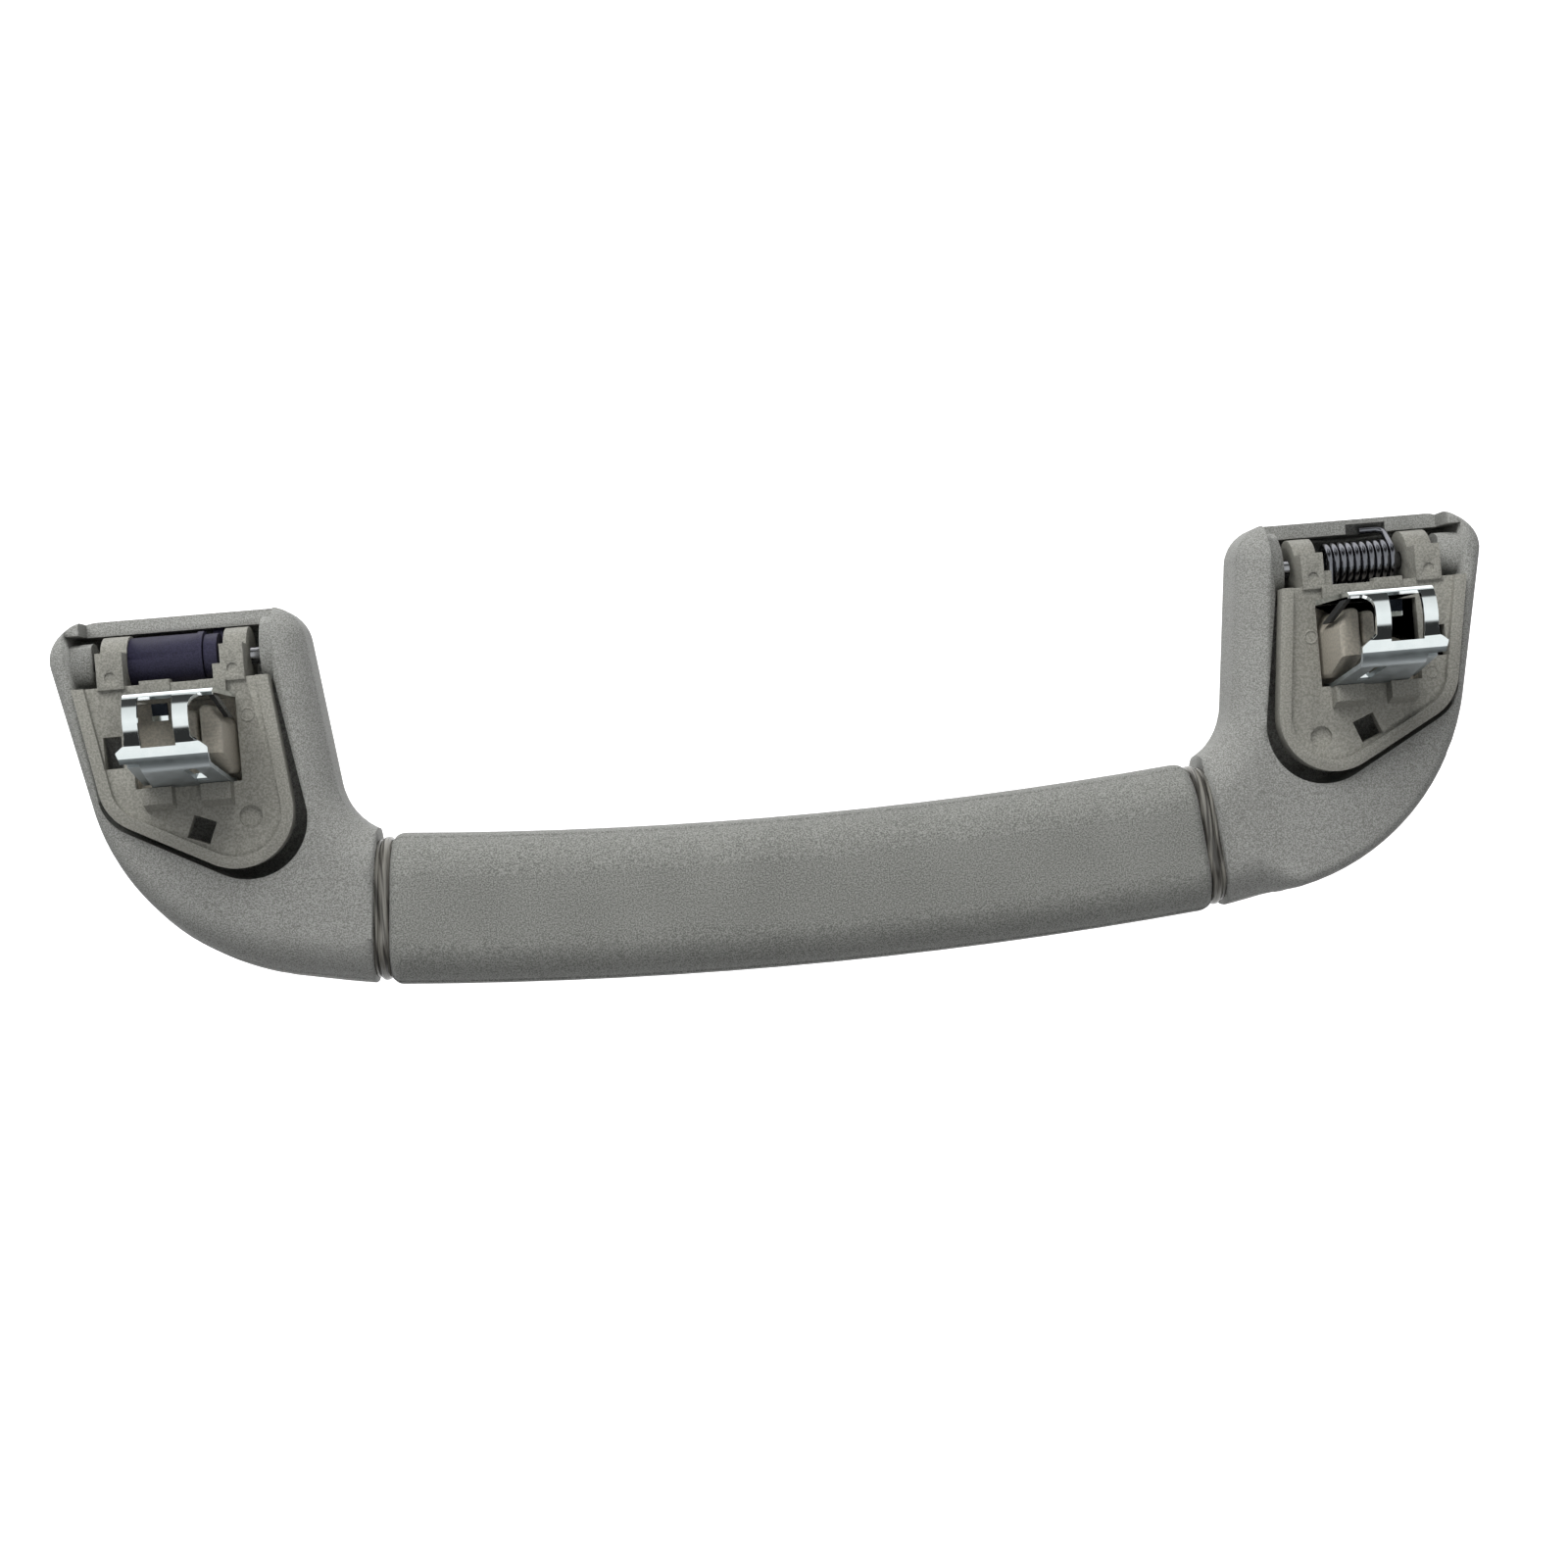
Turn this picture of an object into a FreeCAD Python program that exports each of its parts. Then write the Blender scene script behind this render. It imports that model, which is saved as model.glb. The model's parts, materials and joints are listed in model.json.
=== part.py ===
import FreeCAD, Part
import math
import os
import Sketcher
from FreeCAD import Placement, Rotation, Vector

# Folding roof grab handle, lying as it hangs in use, seen from the roof.
# X runs along the handle, Y from the grip to the hinges, Z up to the roof.
# The origin is midway between the two spring clips, on the plane of the roof lining
# that the rims of both mounting brackets press on.

# Driving dimensions, in millimetres.
# A "reach" is a distance from the centre of a clip, towards the near end of the handle.
SIZES = {
    "clip_pitch": 200.0,

    "grip_width": 25.9,
    "grip_depth": 18.0,
    "grip_mid_y": -32.2,
    "grip_bow_radius": 780.0,
    "grip_flat": 2.0,
    "handle_rear_z": -2.0,
    "bar_reach": -26.5,
    "leg_end_reach": -27.4,
    "sleeve_end_reach": -30.1,
    "sleeve_wall": 1.6,
    "sleeve_fit": 0.05,
    "sleeve_end_rounding": 1.9,

    "heel_radius": 120.0,
    "corner_reach": 11.8,
    "corner_rise": 11.35,
    "corner_radius": 40.0,
    "crotch_reach": -23.9,
    "crotch_radius": 11.0,
    "housing_wall_outer": 3.9,
    "shoulder_inner_reach": -19.1,
    "shoulder_y": 24.0,
    "shoulder_radius": 6.6,
    "side_rounding": 2.2,
    "leg_rounding": 6.0,
    "front_rounding": 6.0,

    "floor_wall": 2.4,
    "hinge_y": 16.0,
    "hinge_z": -9.0,
    "knuckle_radius": 5.0,
    "knuckle_gap": 0.5,
    "back_wall_drop": 2.3,
    "cavity_corner_radius": 10.0,
    "cavity_side_radius": 8.0,
    "cavity_floor_radius": 1.6,
    "cavity_turn_y": 11.0,
    "swing_gap_inner": 0.7,
    "swing_gap_outer": 1.7,
    "swing_gap_side": 0.9,
    "swing_gap_low": 3.1,
    "back_notch_inset": 2.3,
    "horn_drop": 3.6,

    "plate_inner_reach": -14.0,
    "plate_outer_reach": 18.3,
    "plate_side_reach": 14.5,
    "plate_low_reach": -18.2,
    "plate_top_y": 12.1,
    "plate_side_y": -9.7,
    "plate_low_y": -27.1,
    "plate_side_radius": 8.5,
    "plate_low_radius": 9.5,
    "plate_depth": 3.2,
    "plate_wall": 2.0,

    "outer_ear_inset": 8.6,
    "outer_ear_width": 4.4,
    "inner_ear_inset": 3.8,
    "inner_ear_width": 3.9,
    "ear_root": 0.5,
    "ear_top_y": 17.8,
    "ear_top_z": -0.6,

    "pin_radius": 1.5,
    "pin_run_gap": 0.05,
    "pin_inner_reach": -17.5,
    "pin_end_gap": 1.0,
    "pin_chamfer": 0.3,
    "boss_radius": 4.2,
    "boss_gap": 1.9,
    "lip_radius": 6.4,
    "lip_width": 2.1,

    "clip_width": 17.0,
    "clip_shift": 0.5,
    "clip_bend": 1.3,
    "clip_arch_bend": 3.2,
    "clip_top_bend": 1.4,
    "clip_leg_reach": -7.1,
    "clip_leg_lean": 1.5,
    "clip_leg_inset": 0.85,
    "clip_leg_flare": 0.6,
    "clip_wing_depth": 2.8,
    "clip_wing_low_z": 0.5,
    "clip_wing_knee_z": 4.5,
    "clip_wing_top_z": 15.8,
    "clip_slot_reach": -3.0,
    "clip_slot_width": 2.2,
    "clip_slot_z": 6.0,
    "clip_slot_height": 2.2,
    "clip_sheet": 0.8,
    "clip_low_y": -4.9,
    "clip_high_y": 8.5,
    "clip_top_z": 17.0,
    "clip_shoulder_y": -1.3,
    "clip_shoulder_z": 11.2,
    "clip_neck_y": 1.8,
    "clip_neck_z": 12.6,
    "clip_arch_y": 4.6,
    "clip_knee_z": 0.4,
    "clip_wall_gap": 0.4,
    "clip_leg_root_y": -0.2,
    "clip_band_low_y": -1.3,
    "clip_band_tip_y": 0.2,
    "clip_band_high_y": 2.1,
    "clip_band_reach": 1.3,
    "clip_band_inset": 0.05,
    "clip_strap_low_y": 0.8,
    "clip_strap_root_y": 3.2,
    "clip_strap_reach": -4.15,
    "clip_strap_width": 2.4,
    "clip_strap_span": 10.3,
    "clip_window_z": 11.0,
    "clip_window_low_y": 1.1,
    "clip_window_lip": 0.85,
    "clip_foot": 0.6,
    "clip_foot_inset": 1.0,
    "clip_foot_width": 13.1,
    "clip_seat_gap": 0.05,
    "clip_side_gap": 0.3,
    "well_inner_reach": -8.2,
    "well_outer_reach": 9.35,

    "window_reach": -0.9,
    "window_y": -12.8,
    "window_size": 3.9,
    "window_turn": 22.0,
    "side_window_reach": 11.0,
    "side_window_width": 3.0,
    "side_window_y": -1.5,
    "side_window_height": 5.3,
    "recess_radius": 1.9,
    "recess_depth": 0.8,
    "recess_reach": -9.1,
    "left_recess_y": -11.3,
    "right_recess_y": -13.8,
    "stop_inner_reach": -6.7,
    "stop_outer_reach": 2.9,
    "stop_width": 4.9,
    "stop_y": -9.3,
    "stop_length": 4.3,
    "stop_slope": 1.3,
    "stop_height": 2.9,
    "mark_radius": 0.9,
    "mark_depth": 0.3,
    "mark_y": 13.6,
    "ear_step_width": 1.4,
    "ear_step_y": 14.6,
    "ear_step_drop": 1.0,
    "guide_reach": -7.0,
    "guide_width": 4.5,
    "guide_length": 2.9,
    "guide_drop": 0.3,
    "top_tab_reach": 2.3,
    "top_tab_width": 5.0,
    "top_tab_root": 2.0,
    "top_tab_height": 0.6,
    "top_tab_drop": 0.9,

    "cap_width": 20.6,
    "cap_shift": 0.0,
    "cap_low_y": -8.6,
    "cap_high_y": 10.15,
    "cap_depth": 3.2,
    "cap_wall": 1.0,
    "cap_corner_radius": 2.4,
    "cap_gap": 0.05,
    "key_reach": -7.5,
    "key_width": 3.4,
    "key_low_y": -3.8,
    "key_high_y": 7.3,
    "key_corner_y": 4.2,
    "key_corner_width": 1.6,
    "key_lean": 3.6,
    "key_top_z": 9.0,
    "key_rounding": 0.9,
    "prong_reach": -3.6,
    "prong_width": 2.2,
    "prong_low_y": 0.9,
    "prong_length": 5.8,
    "prong_top_z": 8.6,
    "prong_rounding": 0.9,

    "damper_radius": 4.6,
    "damper_wall": 0.9,
    "damper_base": 1.4,
    "damper_collar": 1.0,
    "damper_collar_radius": 4.85,
    "damper_run_gap": 0.1,
    "lug_size": 5.6,
    "lug_depth": 1.4,
    "lug_gap": 0.1,
    "rotor_hub_radius": 2.5,
    "rotor_bore_gap": 0.15,
    "flange_radius": 4.3,
    "flange_ear_gap": 1.25,
    "flange_width": 2.2,
    "flange_gap": 0.15,
    "rotor_tab_width": 1.6,
    "rotor_tab_height": 1.4,
    "rotor_tab_drop": 3.8,
    "rotor_tab_root": 1.0,
    "rotor_slot_depth": 0.8,
    "rotor_slot_gap": 0.2,
    "rotor_disc_start": 5.2,
    "rotor_disc_end_gap": 1.8,
    "end_cap_width": 1.4,
    "seal_wire": 1.0,

    "spring_wire": 1.15,
    "spring_radius": 3.4,
    "spring_inner_reach": -4.2,
    "spring_end_gap": 2.5,
    "spring_turns": 9.153,
    "spring_bracket_leg": 5.4,
    "spring_handle_leg": 5.4,
    "spring_hook": 4.2,
    "spring_bend_radius": 1.3,
    "spring_notch_lead": 5.7,
    "spring_notch_width": 7.1,
    "spring_notch_depth": 1.7,
    "spring_notch_drop": 1.4,
    "spring_seat_reach": -4.9,
    "spring_seat_length": 1.9,
    "spring_seat_width": 2.6,
    "spring_seat_gap": 0.05,
}

doc = FreeCAD.newDocument("RoofGrabHandle")
sheet = doc.addObject("Spreadsheet::Sheet", "Sizes")


class Size:
    """A length that carries its number and the sheet expression that gives it."""

    def __init__(self, value, text):
        self.value = float(value)
        self.text = text

    def __add__(self, other):
        return Size(self.value + number(other), "(%s + %s)" % (self.text, words(other)))

    def __sub__(self, other):
        return Size(self.value - number(other), "(%s - %s)" % (self.text, words(other)))

    def __mul__(self, other):
        return Size(self.value * number(other), "(%s * %s)" % (self.text, words(other)))

    def __truediv__(self, other):
        return Size(self.value / number(other), "(%s / %s)" % (self.text, words(other)))

    def __neg__(self):
        return Size(-self.value, "(0 - %s)" % self.text)


def number(size):
    return size.value if isinstance(size, Size) else float(size)


def words(size):
    return size.text if isinstance(size, Size) else repr(float(size))


class Sheet:
    """The driving dimensions by name, once they are written to the sheet."""


S = Sheet()
for row, (name, value) in enumerate(SIZES.items(), start=1):
    sheet.set("A%d" % row, name)
    sheet.set("B%d" % row, repr(value))
    sheet.setAlias("B%d" % row, name)
    setattr(S, name, Size(value, "Sizes." + name))
doc.recompute()

half_pitch = S.clip_pitch / 2
SIDES = (("left", -1), ("right", 1))
NODES = {}

# How far a cutting tool runs past a face, and how far a joined feature reaches inside
PAST = 1.0
LAP = 0.5
# Two places this close are the same place
CLOSE = 0.01
# Corners of a square, each as signs along its two directions
SQUARE = ((-1, -1), (1, -1), (1, 1), (-1, 1))

# Places that several pieces share
front_z = S.handle_rear_z - S.grip_depth
floor_z = front_z + S.floor_wall
back_wall_y = S.hinge_y + S.knuckle_radius + S.knuckle_gap
back_wall_z = S.hinge_z - S.back_wall_drop
bow_centre_y = S.grip_mid_y + S.grip_bow_radius
grip_rounding = (S.grip_depth - S.grip_flat) / 2
bar_half = half_pitch + S.bar_reach
leg_half = half_pitch + S.leg_end_reach
sleeve_half = half_pitch + S.sleeve_end_reach
plate_low_z = -S.plate_depth
plate_floor_z = plate_low_z + S.plate_wall
corner_y = S.grip_mid_y - S.grip_width / 2 + S.corner_rise
outer_wall = S.plate_outer_reach + S.swing_gap_outer
inner_wall = S.plate_inner_reach - S.swing_gap_inner
shoulder_outer_reach = outer_wall + S.housing_wall_outer
outer_ear_reach = S.plate_outer_reach - S.outer_ear_inset
inner_ear_reach = S.plate_inner_reach + S.inner_ear_inset
ear_root_y = S.plate_top_y - S.ear_root
pin_outer_reach = outer_wall - S.pin_end_gap
pin_length = pin_outer_reach - S.pin_inner_reach
flange_start = inner_ear_reach + S.inner_ear_width + S.flange_ear_gap
barrel_start = flange_start + S.flange_width + S.flange_gap
barrel_length = outer_ear_reach - barrel_start
rotor_tab_z = S.hinge_z - S.rotor_tab_drop - S.rotor_tab_height / 2


# Helpers

def bind(item, prop, size):
    """Tie one property of a document object to the sheet."""
    item.setExpression(prop, words(size))


def corners(sketch, points):
    """Closed outline of straight lines, each corner tied to the sheet."""
    spots = [Vector(number(x), number(y), 0) for x, y in points]
    count = len(spots)
    first = len(sketch.Geometry)
    for i in range(count):
        sketch.addGeometry(Part.LineSegment(spots[i], spots[(i + 1) % count]), False)
    for i in range(count):
        sketch.addConstraint(
            Sketcher.Constraint("Coincident", first + i, 2, first + (i + 1) % count, 1))
    for i, place in enumerate(points):
        for kind, size in zip(("DistanceX", "DistanceY"), place):
            index = sketch.addConstraint(
                Sketcher.Constraint(kind, -1, 1, first + i, 1, number(size)))
            bind(sketch, "Constraints[%d]" % index, size)


def circle(sketch, x, y, radius):
    """Circle with its centre and radius tied to the sheet."""
    centre = Vector(number(x), number(y), 0)
    geo = sketch.addGeometry(Part.Circle(centre, Vector(0, 0, 1), number(radius)), False)
    for kind, size in (("DistanceX", x), ("DistanceY", y)):
        index = sketch.addConstraint(
            Sketcher.Constraint(kind, -1, 1, geo, 3, number(size)))
        bind(sketch, "Constraints[%d]" % index, size)
    index = sketch.addConstraint(Sketcher.Constraint("Radius", geo, number(radius)))
    bind(sketch, "Constraints[%d]" % index, radius)


def new_body(name):
    body = doc.addObject("PartDesign::Body", name)
    body.Label = name
    return body


def sketch_on(body, name, plane, offset):
    """Sketch on one of the body's own planes, moved along its normal."""
    sketch = body.newObject("Sketcher::SketchObject", name)
    support = next(f for f in body.Origin.OriginFeatures if f.Role == plane)
    sketch.AttachmentSupport = (support, "")
    sketch.MapMode = "FlatFace"
    sketch.AttachmentOffset = Placement(Vector(0, 0, number(offset)), Rotation())
    bind(sketch, "AttachmentOffset.Base.z", offset)
    return sketch


def check(item):
    """Stop at a step that didn't build."""
    if "Invalid" in item.State or item.Shape.isNull():
        raise RuntimeError("%s: %s" % (item.Name, item.getStatusString()))


def shrunk(item, before):
    """Stop at a cut that took nothing away."""
    if item.Shape.Volume > before - CLOSE:
        raise RuntimeError(item.Name + " cuts nothing")


def pad(body, sketch, length, name):
    item = body.newObject("PartDesign::Pad", name)
    item.Profile = sketch
    item.Length = number(length)
    bind(item, "Length", length)
    doc.recompute()
    check(item)
    return item


def pocket(body, sketch, length, name):
    """Cut along the sketch's own normal; the volume has to shrink."""
    before = body.Tip.Shape.Volume
    item = body.newObject("PartDesign::Pocket", name)
    item.Profile = sketch
    item.Reversed = True
    item.Length = number(length)
    bind(item, "Length", length)
    doc.recompute()
    shrunk(item, before)
    return item


def edge_names(shape, test):
    return ["Edge%d" % (i + 1) for i, edge in enumerate(shape.Edges) if test(edge)]


def face_names(shape, test):
    return ["Face%d" % (i + 1) for i, face in enumerate(shape.Faces) if test(face)]


def ends(edge):
    return edge.Vertexes[0].Point, edge.Vertexes[-1].Point


def along(axis, place):
    """Test for a straight edge that runs along an axis through a spot."""
    others = [i for i in range(3) if i != axis]

    def test(edge):
        first, last = ends(edge)
        if abs(first[axis] - last[axis]) < CLOSE:
            return False
        return all(abs(end[i] - number(place[i])) < CLOSE
                   for end in (first, last) for i in others)
    return test


def at_level(level):
    """Test for an edge that lies at one height."""
    return lambda edge: all(abs(end.z - level.value) < CLOSE for end in ends(edge))


def round_edges(body, test, radius, name):
    base = body.Tip
    item = body.newObject("PartDesign::Fillet", name)
    item.Base = (base, edge_names(base.Shape, test))
    item.Radius = number(radius)
    bind(item, "Radius", radius)
    doc.recompute()
    check(item)
    return item


def span(side, start, width):
    """Low end of a stretch along X that starts at a reach from the clip's centre."""
    near = half_pitch + start
    return near if side > 0 else -(near + width)


def spot(side, reach, y):
    """Plan position at a reach from the clip's centre."""
    x = half_pitch + reach
    return (x if side > 0 else -x, y)


def cut(base, tool, name):
    """Take one shape out of another; the volume has to shrink."""
    item = doc.addObject("Part::Cut", name)
    item.Base = base
    item.Tool = tool
    doc.recompute()
    shrunk(item, base.Shape.Volume)
    return item


def fuse(pieces, name):
    item = doc.addObject("Part::MultiFuse", name)
    item.Shapes = pieces
    doc.recompute()
    return item


def block(name, side, reach, width, low_y, length, low_z, height):
    """Plain block whose X place is a reach from the clip's centre."""
    item = doc.addObject("Part::Box", name)
    for prop, size in (("Length", width), ("Width", length), ("Height", height),
                       ("Placement.Base.x", span(side, reach, width)),
                       ("Placement.Base.y", low_y), ("Placement.Base.z", low_z)):
        bind(item, prop, size)
    doc.recompute()
    return item


def rod(name, side, reach, width, radius):
    """Round bar on the hinge axis."""
    item = doc.addObject("Part::Cylinder", name)
    item.Placement = Placement(Vector(0, 0, 0), Rotation(Vector(0, 1, 0), 90))
    for prop, size in (("Radius", radius), ("Height", width),
                       ("Placement.Base.x", span(side, reach, width)),
                       ("Placement.Base.y", S.hinge_y), ("Placement.Base.z", S.hinge_z)):
        bind(item, prop, size)
    doc.recompute()
    return item


def prism(body, name, side, points, low_z, height):
    """Pad of a plan outline given as reaches and Y places."""
    sketch = sketch_on(body, name + "_plan", "XY_Plane", low_z)
    corners(sketch, [spot(side, reach, y) for reach, y in points])
    return pad(body, sketch, height, name)


def box_plan(reach, width, low_y, length):
    return [(reach, low_y), (reach + width, low_y),
            (reach + width, low_y + length), (reach, low_y + length)]


def sideways(body, name, side, reach, width, points=None, ring=None):
    """Pad along X of a profile in Y and Z, or of a circle on the hinge axis."""
    sketch = sketch_on(body, name + "_profile", "YZ_Plane", span(side, reach, width))
    if points:
        corners(sketch, points)
    else:
        circle(sketch, S.hinge_y, S.hinge_z, ring)
    return pad(body, sketch, width, name)


def hole(body, name, side, points, low_z, height):
    """Cut of a plan outline, upwards from a level."""
    sketch = sketch_on(body, name + "_plan", "XY_Plane", low_z)
    corners(sketch, [spot(side, reach, y) for reach, y in points])
    return pocket(body, sketch, height, name)


def round_hole(body, name, side, reach, y, radius, low_z, height):
    sketch = sketch_on(body, name + "_plan", "XY_Plane", low_z)
    circle(sketch, *spot(side, reach, y), radius)
    return pocket(body, sketch, height, name)


def front_sketch(body, name, y):
    """Sketch in X and Z that looks along -Y from a place on Y."""
    return sketch_on(body, name, "XZ_Plane", -y)


def round_cut(body, name, side, reach, width, radius):
    sketch = sketch_on(body, name + "_profile", "YZ_Plane", span(side, reach, width))
    circle(sketch, S.hinge_y, S.hinge_z, radius)
    return pocket(body, sketch, width, name)


# Handle body: outline, grip and end housings

def bowed_bar(name, half_length, width, low_z, depth, rounding=None):
    """Stretch of the grip: a rounded block turned about the centre of the bow."""
    body = new_body(name)
    sketch = sketch_on(body, name + "_section", "YZ_Plane", 0)
    bind(sketch, "AttachmentOffset.Base.x", bow_centre_y)
    doc.recompute()
    near = width / 2 - S.grip_bow_radius
    far = -(width / 2 + S.grip_bow_radius)
    corners(sketch, [(far, low_z), (near, low_z), (near, low_z + depth), (far, low_z + depth)])
    turned = body.newObject("PartDesign::Revolution", name + "_turned")
    turned.Profile = sketch
    turned.ReferenceAxis = (sketch, ["V_Axis"])
    turned.Midplane = True
    angle = half_length / S.grip_bow_radius * math.degrees(2)
    turned.Angle = angle.value
    bind(turned, "Angle", angle)
    doc.recompute()
    if rounding:
        round_edges(body, lambda edge: edge.Curve.TypeId == "Part::GeomCircle", rounding,
                    name + "_rounding")
    return body


def handle_outline(body):
    """Plan of the whole handle: bowed grip, round corners and two end housings."""
    sketch = sketch_on(body, "handle_plan", "XY_Plane", front_z)
    centre = Vector(0, bow_centre_y.value, 0)
    arcs = (S.grip_bow_radius + S.grip_width / 2, S.grip_bow_radius - S.grip_width / 2)
    reaches = (leg_half, half_pitch + S.crotch_reach)
    for geo, radius in enumerate(arcs):
        turn = math.asin(reaches[geo].value / radius.value)
        full = Part.Circle(centre, Vector(0, 0, 1), radius.value)
        sketch.addGeometry(Part.ArcOfCircle(full, -math.pi / 2 - turn, -math.pi / 2 + turn), False)
        index = sketch.addConstraint(Sketcher.Constraint("Radius", geo, radius.value))
        bind(sketch, "Constraints[%d]" % index, radius)
        sketch.addConstraint(Sketcher.Constraint("PointOnObject", geo, 3, -2))
        index = sketch.addConstraint(
            Sketcher.Constraint("DistanceY", -1, 1, geo, 3, bow_centre_y.value))
        bind(sketch, "Constraints[%d]" % index, bow_centre_y)
        for point, sign in ((1, -1), (2, 1)):
            size = reaches[geo] * sign
            index = sketch.addConstraint(
                Sketcher.Constraint("DistanceX", -1, 1, geo, point, size.value))
            bind(sketch, "Constraints[%d]" % index, size)
    for side, end in ((-1, 1), (1, 2)):
        turns = [spot(side, S.corner_reach, corner_y),
                 spot(side, shoulder_outer_reach, S.shoulder_y),
                 spot(side, S.shoulder_inner_reach, S.shoulder_y)]
        points = [Vector(number(x), number(y), 0) for x, y in turns]
        path = [sketch.getPoint(0, end)] + points + [sketch.getPoint(1, end)]
        first = None
        for start, finish in zip(path, path[1:]):
            line = sketch.addGeometry(Part.LineSegment(start, finish), False)
            first = line if first is None else first
        last = line
        sketch.addConstraint(Sketcher.Constraint("Coincident", first, 1, 0, end))
        sketch.addConstraint(Sketcher.Constraint("Coincident", last, 2, 1, end))
        for line, corner in zip(range(first, last), turns):
            sketch.addConstraint(Sketcher.Constraint("Coincident", line, 2, line + 1, 1))
            for kind, size in zip(("DistanceX", "DistanceY"), corner):
                index = sketch.addConstraint(
                    Sketcher.Constraint(kind, -1, 1, line, 2, number(size)))
                bind(sketch, "Constraints[%d]" % index, size)
    return sketch


form = new_body("handle_form")
pad(form, handle_outline(form), S.grip_depth, "handle_pad")
crotch_x = half_pitch + S.crotch_reach
outer_arc = S.grip_bow_radius + S.grip_width / 2
heel_y = bow_centre_y.value - math.sqrt(outer_arc.value ** 2 - leg_half.value ** 2)
inner_arc = S.grip_bow_radius - S.grip_width / 2
crotch_y = bow_centre_y.value - math.sqrt(inner_arc.value ** 2 - crotch_x.value ** 2)
for name, reach, y, radius in (
        ("corner", S.corner_reach, corner_y, S.corner_radius),
        ("heel", S.leg_end_reach, heel_y, S.heel_radius),
        ("crotch", S.crotch_reach, crotch_y, S.crotch_radius),
        ("shoulder_outer", shoulder_outer_reach, S.shoulder_y, S.shoulder_radius),
        ("shoulder_inner", S.shoulder_inner_reach, S.shoulder_y, S.shoulder_radius)):
    spots = [spot(side, reach, y) + (0,) for _, side in SIDES]
    round_edges(form, lambda edge, spots=spots: any(along(2, place)(edge) for place in spots),
                radius, name + "_turn")

# The grip's rounding runs this far past the crotch before the leg's own takes over
RIM_MARGIN = 1.0


def rim_radius(point, rear):
    """Rounding wanted at a point of the handle's rear or front rim."""
    x = abs(point.x)
    if x < half_pitch.value + S.corner_reach.value and point.y < crotch_y + RIM_MARGIN:
        return grip_rounding.value
    if not rear:
        return S.front_rounding.value
    if x > half_pitch.value and point.y < S.shoulder_y.value - CLOSE:
        return S.side_rounding.value
    return S.leg_rounding.value


def rim_edges(shape):
    """Every edge of the two rims with the rounding at its start and its end."""
    chosen = []
    for i, edge in enumerate(shape.Edges, start=1):
        first, last = ends(edge)
        for z, rear in ((S.handle_rear_z.value, True), (front_z.value, False)):
            if abs(first.z - z) < CLOSE and abs(last.z - z) < CLOSE:
                start = edge.valueAt(edge.FirstParameter)
                finish = edge.valueAt(edge.LastParameter)
                chosen.append((i, rim_radius(start, rear), rim_radius(finish, rear)))
    return chosen


rims = doc.addObject("Part::Fillet", "handle_rims")
rims.Base = form
rims.Edges = rim_edges(form.Shape)
doc.recompute()


def cavity(name, side):
    """Space of one end housing: the bracket's outline grown by its swing gaps."""
    body = new_body(name + "_cavity")
    sketch = sketch_on(body, name + "_cavity_plan", "XY_Plane", floor_z)
    side_corner = (S.plate_side_reach + S.swing_gap_side, S.plate_side_y - S.swing_gap_inner)
    low_corner = (S.plate_low_reach - S.swing_gap_low, S.plate_low_y - S.swing_gap_low)
    plan = [(inner_wall, back_wall_y), (outer_wall, back_wall_y), side_corner, low_corner,
            (inner_wall, S.cavity_turn_y)]
    corners(sketch, [spot(side, reach, y) for reach, y in plan])
    pad(body, sketch, -floor_z, name + "_cavity_pad")
    for part, corner, radius in (("side", side_corner, S.cavity_side_radius),
                                 ("low", low_corner, S.cavity_corner_radius)):
        round_edges(body, along(2, spot(side, *corner) + (0,)), radius,
                    name + "_cavity_" + part)
    round_edges(body, at_level(floor_z), S.cavity_floor_radius, name + "_cavity_floor")
    return body


# Handle body
bar = bowed_bar("bar", bar_half, S.grip_width - S.sleeve_wall * 2, front_z + S.sleeve_wall,
                S.grip_depth - S.sleeve_wall * 2, grip_rounding - S.sleeve_wall)
leg_zone = bowed_bar("leg_zone", leg_half, S.grip_width * 2, front_z - PAST,
                     S.grip_depth + PAST * 2)
ring = cut(leg_zone, bar, "bar_clearance")
handle = cut(rims, ring, "handle_bar")
horn_width = outer_wall - inner_wall
wall_room = S.shoulder_y - back_wall_y + PAST * 2
for name, side in SIDES:
    handle = cut(handle, cavity(name, side), name + "_housing")
    low_back = block(name + "_low_back", side, inner_wall, horn_width - S.back_notch_inset,
                     back_wall_y - PAST, wall_room, back_wall_z, -back_wall_z)
    handle = cut(handle, low_back, name + "_back_wall")
    horn_z = S.handle_rear_z - S.horn_drop
    horn_room = block(name + "_horn_room", side, inner_wall, horn_width,
                      back_wall_y - PAST, wall_room, horn_z, -horn_z)
    handle = cut(handle, horn_room, name + "_horn")
spring_length = outer_ear_reach - S.spring_end_gap - S.spring_inner_reach
spring_end = S.spring_inner_reach + spring_length
spring_notch = block("spring_notch", 1, spring_end - S.spring_notch_lead, S.spring_notch_width,
                     back_wall_y - PAST, S.spring_notch_depth + PAST,
                     back_wall_z - S.spring_notch_drop, S.spring_notch_drop + PAST)
handle = cut(handle, spring_notch, "spring_hook_notch")
rotor_slot_z = rotor_tab_z - S.rotor_slot_gap
rotor_slot = block("rotor_slot", -1, flange_start - S.rotor_slot_gap,
                   S.rotor_tab_width + S.rotor_slot_gap * 2, back_wall_y - PAST,
                   S.rotor_slot_depth + PAST, rotor_slot_z,
                   S.rotor_tab_height + S.rotor_slot_gap * 2)
handle = cut(handle, rotor_slot, "rotor_tab_slot")
boss_reach = outer_ear_reach + S.outer_ear_width + S.boss_gap
bosses = []
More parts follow.
